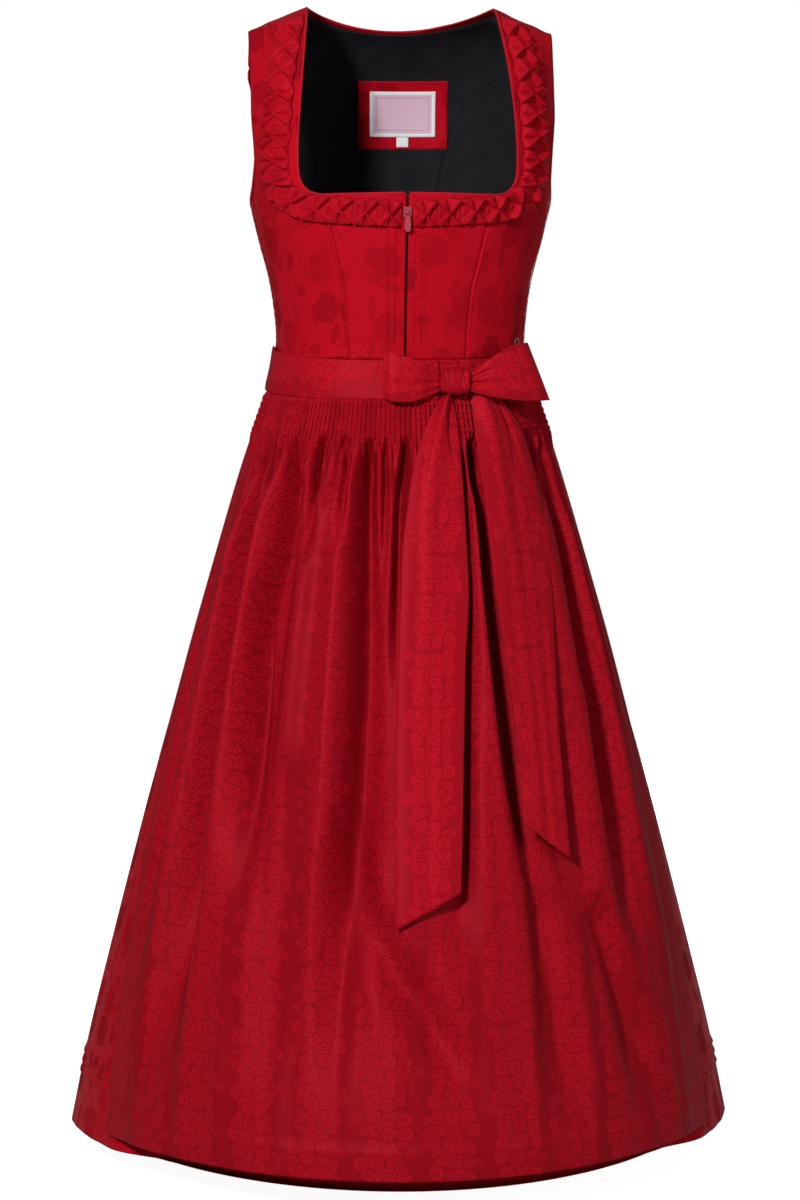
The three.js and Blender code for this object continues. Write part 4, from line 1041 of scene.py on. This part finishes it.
def makeBow():
    creasesLeft = [(0.66, 0.07, 4.2, 26), (0.4, 0.07, 4.4, 24), (0.86, 0.06, 2.2, 18)]
    creasesRight = [(0.68, 0.07, 4.2, 15), (0.42, 0.06, 4, 18), (0.2, 0.07, 2.6, 12)]
    for name, rows, side, tilt, creases, width in (
            ("left", leftLoop, 1, loopPlace["leftTilt"], creasesLeft, 0.044),
            ("right", rightLoop, -1, loopPlace["rightTilt"], creasesRight, 0.04)):
        piece = clothSheet(f"bow_loop_{name}_cloth", 110, 44, loopShape(rows, side, tilt, creases),
                           sashClothPaintedLight, "apron_cloth", loopPlace["wall"], [f"bow_loop_{name}"])
    # the place of each fold at its top and bottom, its spread, its height and where it ends
    foldsLeft = [(0.3, 0.25, 0.16, 4, 560), (0.72, 0.6, 0.06, -4, 520)]
    foldsRight = [(0.4, 0.5, 0.2, 4, 620), (0.2, 0.25, 0.07, -3, 450)]
    for name, rows, slant, folds, width in (
            ("left", leftTail, tail["leftSlant"], foldsLeft, 0.045),
            ("right", rightTail, tail["rightSlant"], foldsRight, 0.055)):
        piece = clothSheet(f"bow_tail_{name}_cloth", 60, 170, tailShape(rows, slant, folds),
                           sashClothPaintedLight, "apron_cloth", tail["wall"], [f"bow_tail_{name}"])
    makeKnot()


makeBow()
print("bow made")

# neck trim
trimPath = [(4.6, -186), (34, -184.5), (62, -182.5), (84, -179.5), (99, -172.5), (109, -160), (112.5, -140),
            (111.5, -115), (109.5, -90), (107.5, -65), (103.5, -40), (99.5, -20), (97, -5)]
trim = {"width": 24, "motifs": 13, "base": 1.3, "ridge": 8.4, "perMotif": 30, "across": 28, "wall": 0.6,
        "strip": 0.036, "cut": 0.95}


def pathSampler(points):
    # even steps along a smooth path through flat points
    points = np.array(points, float)
    order = np.arange(len(points))
    fine = np.linspace(0, len(points) - 1, 1200)
    path = np.stack([curveThrough(order, points[:, c], fine) for c in (0, 1)], axis=-1)
    length = np.concatenate([[0], np.cumsum(np.linalg.norm(np.diff(path, axis=0), axis=1))])

    def at(share):
        s = np.asarray(share) * length[-1]
        x = np.interp(s, length, path[:, 0])
        z = np.interp(s, length, path[:, 1])
        ahead = np.minimum(s + 1.5, length[-1])
        behind = np.maximum(s - 1.5, 0)
        dx = np.interp(ahead, length, path[:, 0]) - np.interp(behind, length, path[:, 0])
        dz = np.interp(ahead, length, path[:, 1]) - np.interp(behind, length, path[:, 1])
        norm = np.hypot(dx, dz)
        return x, z, dx / norm, dz / norm
    return at, length[-1]


def pleatHeight(p, q, index):
    # one motif of the pinched box pleats: four edges meet in the middle, over pockets above and below them
    p = p + 0.06 * np.sin(index * 2.3) * (1 - p ** 2)
    q = q + 0.05 * np.sin(index * 1.7 + 1) * (1 - q ** 2)
    a, b = np.abs(p), np.abs(q)
    cross = a * 0.98 - b
    far = np.maximum(a, b)
    low = trim["base"]
    arm = (trim["ridge"] - low) * (1 - 0.25 * far) * (1 - smooth(far, 0.86, 0.97))
    toward = np.clip(a / np.maximum(b, 0.02), 0, 1)
    cleft = np.exp(-(toward / 0.2) ** 2) * smooth(b, 0.06, 0.2)
    puff = arm * (0.56 + 0.44 * toward ** 1.5) * (1 - 0.95 * cleft)
    wall = arm * np.exp(-(np.maximum(cross, 0) / 0.09) ** 1.2)
    beside = 1.4 * smooth(cross, 0.3, 0.7) * (1 - smooth(a, 0.86, 0.98))
    lip = 0.9 * np.exp(-(cross / 0.055) ** 2) * (1 - smooth(far, 0.8, 0.95))
    height = low + np.where(cross < 0, puff, wall + beside) + lip
    return np.maximum(height - 0.6 * np.exp(-((a - 1) / 0.07) ** 2), 0.95)


def makeTrim():
    at, length = pathSampler(trimPath)
    for name, side in (("left", 1), ("right", -1)):
        def shape(u, v, side=side):
            along = u if side > 0 else 1 - u
            q = 2 * v - 1
            x, z, dx, dz = at(along)
            count = along * trim["motifs"]
            p = 2 * (count % 1) - 1
            # the strip's edges are a little scalloped by the pleats
            q = q * (1 - 0.05 * (1 - np.cos(np.pi * p)) * np.abs(q) ** 3)
            px = x - dz * q * trim["width"] / 2 + side * zipX * (1 - along)
            pz = np.minimum(z + dx * q * trim["width"] / 2, -1.5)
            height = pleatHeight(p, 2 * v - 1, np.floor(count))
            height = lerp(height, 1.0, smooth(np.abs(2 * v - 1), 0.93, 1))
            fromEnds = np.minimum(along * length / 4, (1 - along) * length / 12)
            height = lerp(1.0, height, smooth(fromEnds, 0, 1))
            places = layerPoint(frontAngle(side * px, pz), pz, height)
            pattern = np.stack([along * length * side, q * 12], axis=-1)
            return places, pattern
        piece = clothSheet(f"neck_trim_{name}_pleats", trim["motifs"] * trim["perMotif"], trim["across"],
                           shape, trimSatin, "trim_cloth", trim["wall"], [f"neck_trim_{name}"])


makeTrim()
print("trim made")

# stitches and piping
stitch = {"long": 1.9, "gap": 1.1, "wide": 0.5, "high": 0.28}
piping = 0.85


def runStitches(name, points, normals, material):
    # small flat prisms along a path on the cloth
    points = np.asarray(points, float)
    length = np.concatenate([[0], np.cumsum(np.linalg.norm(np.diff(points, axis=0), axis=1))])
    pitch = stitch["long"] + stitch["gap"]

    def along(table, s):
        return np.array([np.interp(s, length, table[:, c]) for c in range(3)])

    bm = bmesh.new()
    for k in range(int(length[-1] // pitch)):
        s = (k + 0.5) * pitch
        here = along(points, s)
        forward = Vector(along(points, s + 0.5) - here).normalized()
        up = Vector(along(normals, s)).normalized()
        sideways = up.cross(forward).normalized()
        addBlock(bm, here, (forward * stitch["long"], sideways * stitch["wide"], up * stitch["high"]))
    fromBmesh(bm, name, material, smoothed=False)


def onDress(angle, height, out):
    angle, height = np.broadcast_arrays(np.asarray(angle, float), np.asarray(height, float))
    return layerPoint(angle, height, out), outward(angle, height)


def makeStitches():
    # beside the zip, beside the princess seams, and along the armhole edges
    up = np.linspace(-300, -199, 120)
    for k, x in enumerate((-18, -12, 4.6, 11)):
        runStitches(f"zip_topstitch_{k + 1}", *onDress(frontAngle(x, up), up, 0.35), redThread)
    table = np.array(frontRows, float)
    fromEdge = 2.0
    for name, side in (("left", 1), ("right", -1)):
        x = curveThrough(table[:, 1], table[:, 0], up) + 2.6
        runStitches(f"princess_topstitch_{name}", *onDress(frontAngle(side * x, up), up, 0.15), redThread)
        for part, rows, inward in (
                ("front", sideFrontRows[8:], -fromEdge), ("back", sideBackRows[5:], fromEdge)):
            edge = np.array(rows, float)
            order = np.linspace(0, len(edge) - 1, 200)
            armAngle = curveThrough(np.arange(len(edge)), edge[:, 2], order) + inward
            armHeight = curveThrough(np.arange(len(edge)), edge[:, 3], order)
            runStitches(f"armhole_stitch_{part}_{name}", *onDress(side * armAngle, armHeight, 0.2), redThread)


makeStitches()


def tube(name, points, radius, material):
    # a round cord through the points, made a mesh with closed ends
    curve = bpy.data.curves.new(name, "CURVE")
    curve.dimensions = "3D"
    curve.bevel_depth = radius * mm
    curve.bevel_resolution = 2
    curve.use_fill_caps = True
    spline = curve.splines.new("POLY")
    spline.points.add(len(points) - 1)
    for point, place in zip(spline.points, points):
        point.co = (*(np.asarray(place) * mm), 1)
    holder = intoScene(name, curve)
    mesh = bpy.data.meshes.new_from_object(holder.evaluated_get(bpy.context.evaluated_depsgraph_get()))
    bpy.data.objects.remove(holder)
    mesh.name = name
    smoothFaces(mesh)
    if not mesh.uv_layers:
        clothUv(mesh, vertexPlaces(mesh)[:, [0, 2]] / mm)
    dressUp(intoScene(name, mesh), material)


def makePiping():
    # the finished neck edge: from the zip round the corner up to the shoulder, and across the back
    edge = np.array([(x, z) for x, z, _, _ in sideFrontRows[7:]], float)
    order = np.linspace(0, len(edge) - 1, 260)
    sideX = curveThrough(np.arange(len(edge)), edge[:, 0], order)
    sideZ = curveThrough(np.arange(len(edge)), edge[:, 1], order)
    for name, side in (("left", 1), ("right", -1)):
        start = zipGap / 2 + side * zipX
        x = np.concatenate([np.linspace(start + 1, 74, 60), sideX])
        z = np.concatenate([neckBottom - np.linspace(0, 1, 60), sideZ])
        points = layerPoint(frontAngle(side * x, z), z + 0.3, -0.7)
        tube(f"neck_piping_{name}", points, piping, pipingSatin)
    angle = backAngle(np.linspace(82, -82, 200), -0.5)
    points = layerPoint(angle, np.minimum(-neckDip(angle, 0), -0.3), -0.6)
    tube("neck_piping_back", points, piping, pipingSatin)


makePiping()
print("stitches and piping made")

# zip
zipper = {"tapeHalf": 11, "top": -172, "foot": -309, "firstTooth": -306, "toothPitch": 1.5,
          "toothWide": 3.0, "toothLong": 0.95, "toothHigh": 0.9, "toothBevel": 0.00022}


def makeZip():
    def tape(u, v):
        z = lerp(zipper["foot"], zipper["top"], v)
        x = lerp(-zipper["tapeHalf"], zipper["tapeHalf"], u)
        ridge = 0.8 * np.exp(-(x / 1.5) ** 2)
        places = layerPoint(frontAngle(x + zipX, z), z, -3.7 + ridge)
        return places, np.stack([x, z], axis=-1)
    # the tape here and the chain below carry the near-black painted shade of the gap
    piece = clothSheet("zip_tape_cloth", 40, 60, tape, tapeClothPaintedShade, "zip_red", 0.6, ["zip_tape"])
    bm = bmesh.new()
    count = int((zipper["top"] - 2 - zipper["firstTooth"]) / zipper["toothPitch"])
    for k in range(count):
        z = zipper["firstTooth"] + k * zipper["toothPitch"]
        side = 0.5 if k % 2 else -0.5
        angle = float(frontAngle(zipX + side, z))
        away = Vector(outward(angle, z))
        up = away.cross(Vector((1, 0, 0))).normalized()
        across = up.cross(away).normalized()
        addBlock(bm, layerPoint(angle, z, -2.9), (
            across * zipper["toothWide"], up * zipper["toothLong"], away * zipper["toothHigh"]))
    bmesh.ops.bevel(bm, geom=bm.edges[:], offset=zipper["toothBevel"], segments=1, affect="EDGES",
                    profile=0.5, material=-1)
    fromBmesh(bm, "zip_chain", coilPaintedShade, smoothed=False)


makeZip()
for name, material in (("zip_slider", pullEnamel), ("zip_pull", pullEnamel), ("side_ring", ringMetal)):
    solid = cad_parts[name].data
    solid.materials.clear()
    solid.materials.append(material)
print("zip made")

# label, patch and tag
patch = {"x": 10, "z": -87, "halfX": 42, "halfZ": 32, "out": -5.2}
label = {"x": 10, "z": -86, "halfX": 31, "halfZ": 21.5, "out": -6.9}
sizeTag = {"x": 10, "z": -112.5, "halfX": 5.5, "halfZ": 4.6, "out": -6.9}


def flatShape(place, swell):
    def shape(u, v):
        z = place["z"] + (2 * v - 1) * place["halfZ"]
        # going round the back with the angle, x falls
        x = place["x"] + (1 - 2 * u) * place["halfX"]
        edge = np.maximum(np.abs(2 * u - 1), np.abs(2 * v - 1))
        bow = swell * ripple(u * 5, v * 5, 4.0) - 0.25 * smooth(edge, 0.93, 1)
        # the inner face shows, so the cloth lies on its thickness
        places = layerPoint(backAngle(x, z), z, place["out"] - bow)
        pattern = np.stack([(2 * u - 1) * place["halfX"], (2 * v - 1) * place["halfZ"]], axis=-1)
        return places, pattern
    return shape


def makeLabels():
    for name, place, material, slot, swell, columns in (
            ("label_patch", patch, dressSatin, "dress_cloth", 0.12, 60),
            ("label", label, labelCloth, "label_pink", 0.1, 50),
            ("size_tag", sizeTag, tagCloth, "tag_white", 0.0, 16)):
        piece = clothSheet(f"{name}_cloth", columns, columns * 2 // 3, flatShape(place, swell), material,
                           slot, 0.6, [name])
    # one row of stitches round the patch and the label, on their inner faces
    rising, whole = np.linspace(-1, 1, 60), np.ones(60)
    turns = np.concatenate([np.stack(pair, axis=-1) for pair in (
        (rising, whole), (whole, -rising), (-rising, -whole), (-whole, rising))])
    inset = 1.8
    for name, place, thread in (("patch_stitch", patch, hemThread), ("label_stitch", label, whiteThread)):
        x = place["x"] + turns[:, 0] * (place["halfX"] - inset)
        z = place["z"] + turns[:, 1] * (place["halfZ"] - inset)
        angle = backAngle(x, z)
        points = layerPoint(angle, z, place["out"] - 0.75)
        runStitches(name, points, -outward(angle, z), thread)


makeLabels()
print("labels made")

# camera, light and floor
studio = {
    "camera": (-0.2118, -2.6917, -0.285), "target": (0, 0, -0.528), "lens": 90, "floor": -1.02,
    "ambient": 0.12, "lightsAimAt": (0, 0, -0.45),
    "lights": (("keyLight", (-0.9, -1.9, 0.4), 0.25, 40), ("fillLight", (1.5, -1.6, -0.1), 0.8, 8),
               ("topLight", (0.3, 0.2, 1.9), 1.2, 6), ("backLight", (0.3, 2.4, -0.35), 1.2, 34)),
}


def makeStudio():
    scene = bpy.context.scene
    camera = intoScene("camera", bpy.data.cameras.new("camera"))
    camera.data.lens = studio["lens"]
    camera.data.sensor_width = 36
    camera.data.clip_end = 50
    camera.location = studio["camera"]
    view = Vector(studio["target"]) - Vector(studio["camera"])
    camera.rotation_euler = view.to_track_quat("-Z", "Y").to_euler()
    scene.camera = camera
    scene.view_settings.view_transform = "Standard"

    # the background shows white, and its light on the dress is softer than that
    world = bpy.data.worlds.new("studio")
    world.use_nodes = True
    tree = world.node_tree
    seen = addNode(tree, "ShaderNodeLightPath").outputs["Is Camera Ray"]
    background = tree.nodes["Background"]
    background.inputs["Color"].default_value = (1, 1, 1, 1)
    tree.links.new(ramp(tree, seen, 0, 1, studio["ambient"], 1), background.inputs["Strength"])
    scene.world = world
    for name, place, size, power in studio["lights"]:
        light = bpy.data.lights.new(name, "AREA")
        light.energy = power
        light.size = size
        lamp = intoScene(name, light)
        lamp.location = place
        aim = Vector(studio["lightsAimAt"]) - Vector(place)
        lamp.rotation_euler = aim.to_track_quat("-Z", "Y").to_euler()

    bm = bmesh.new()
    bmesh.ops.create_grid(bm, x_segments=1, y_segments=1, size=12)
    bmesh.ops.translate(bm, verts=bm.verts, vec=(0, 0, studio["floor"]))
    floor = intoScene("floor", meshOf(bm, "floor"))
    # it looks as white as the background, and throws back less light than it shows
    pale, tree, shader = newMaterial("paleFloor", (0.4, 0.4, 0.4), 1, **{"Emission Color": (1, 1, 1, 1)})
    seen = addNode(tree, "ShaderNodeLightPath").outputs["Is Camera Ray"]
    tree.links.new(ramp(tree, seen, 0, 1, 0, 0.95), shader.inputs["Emission Strength"])
    floor.data.materials.append(pale)


makeStudio()
print("studio made")
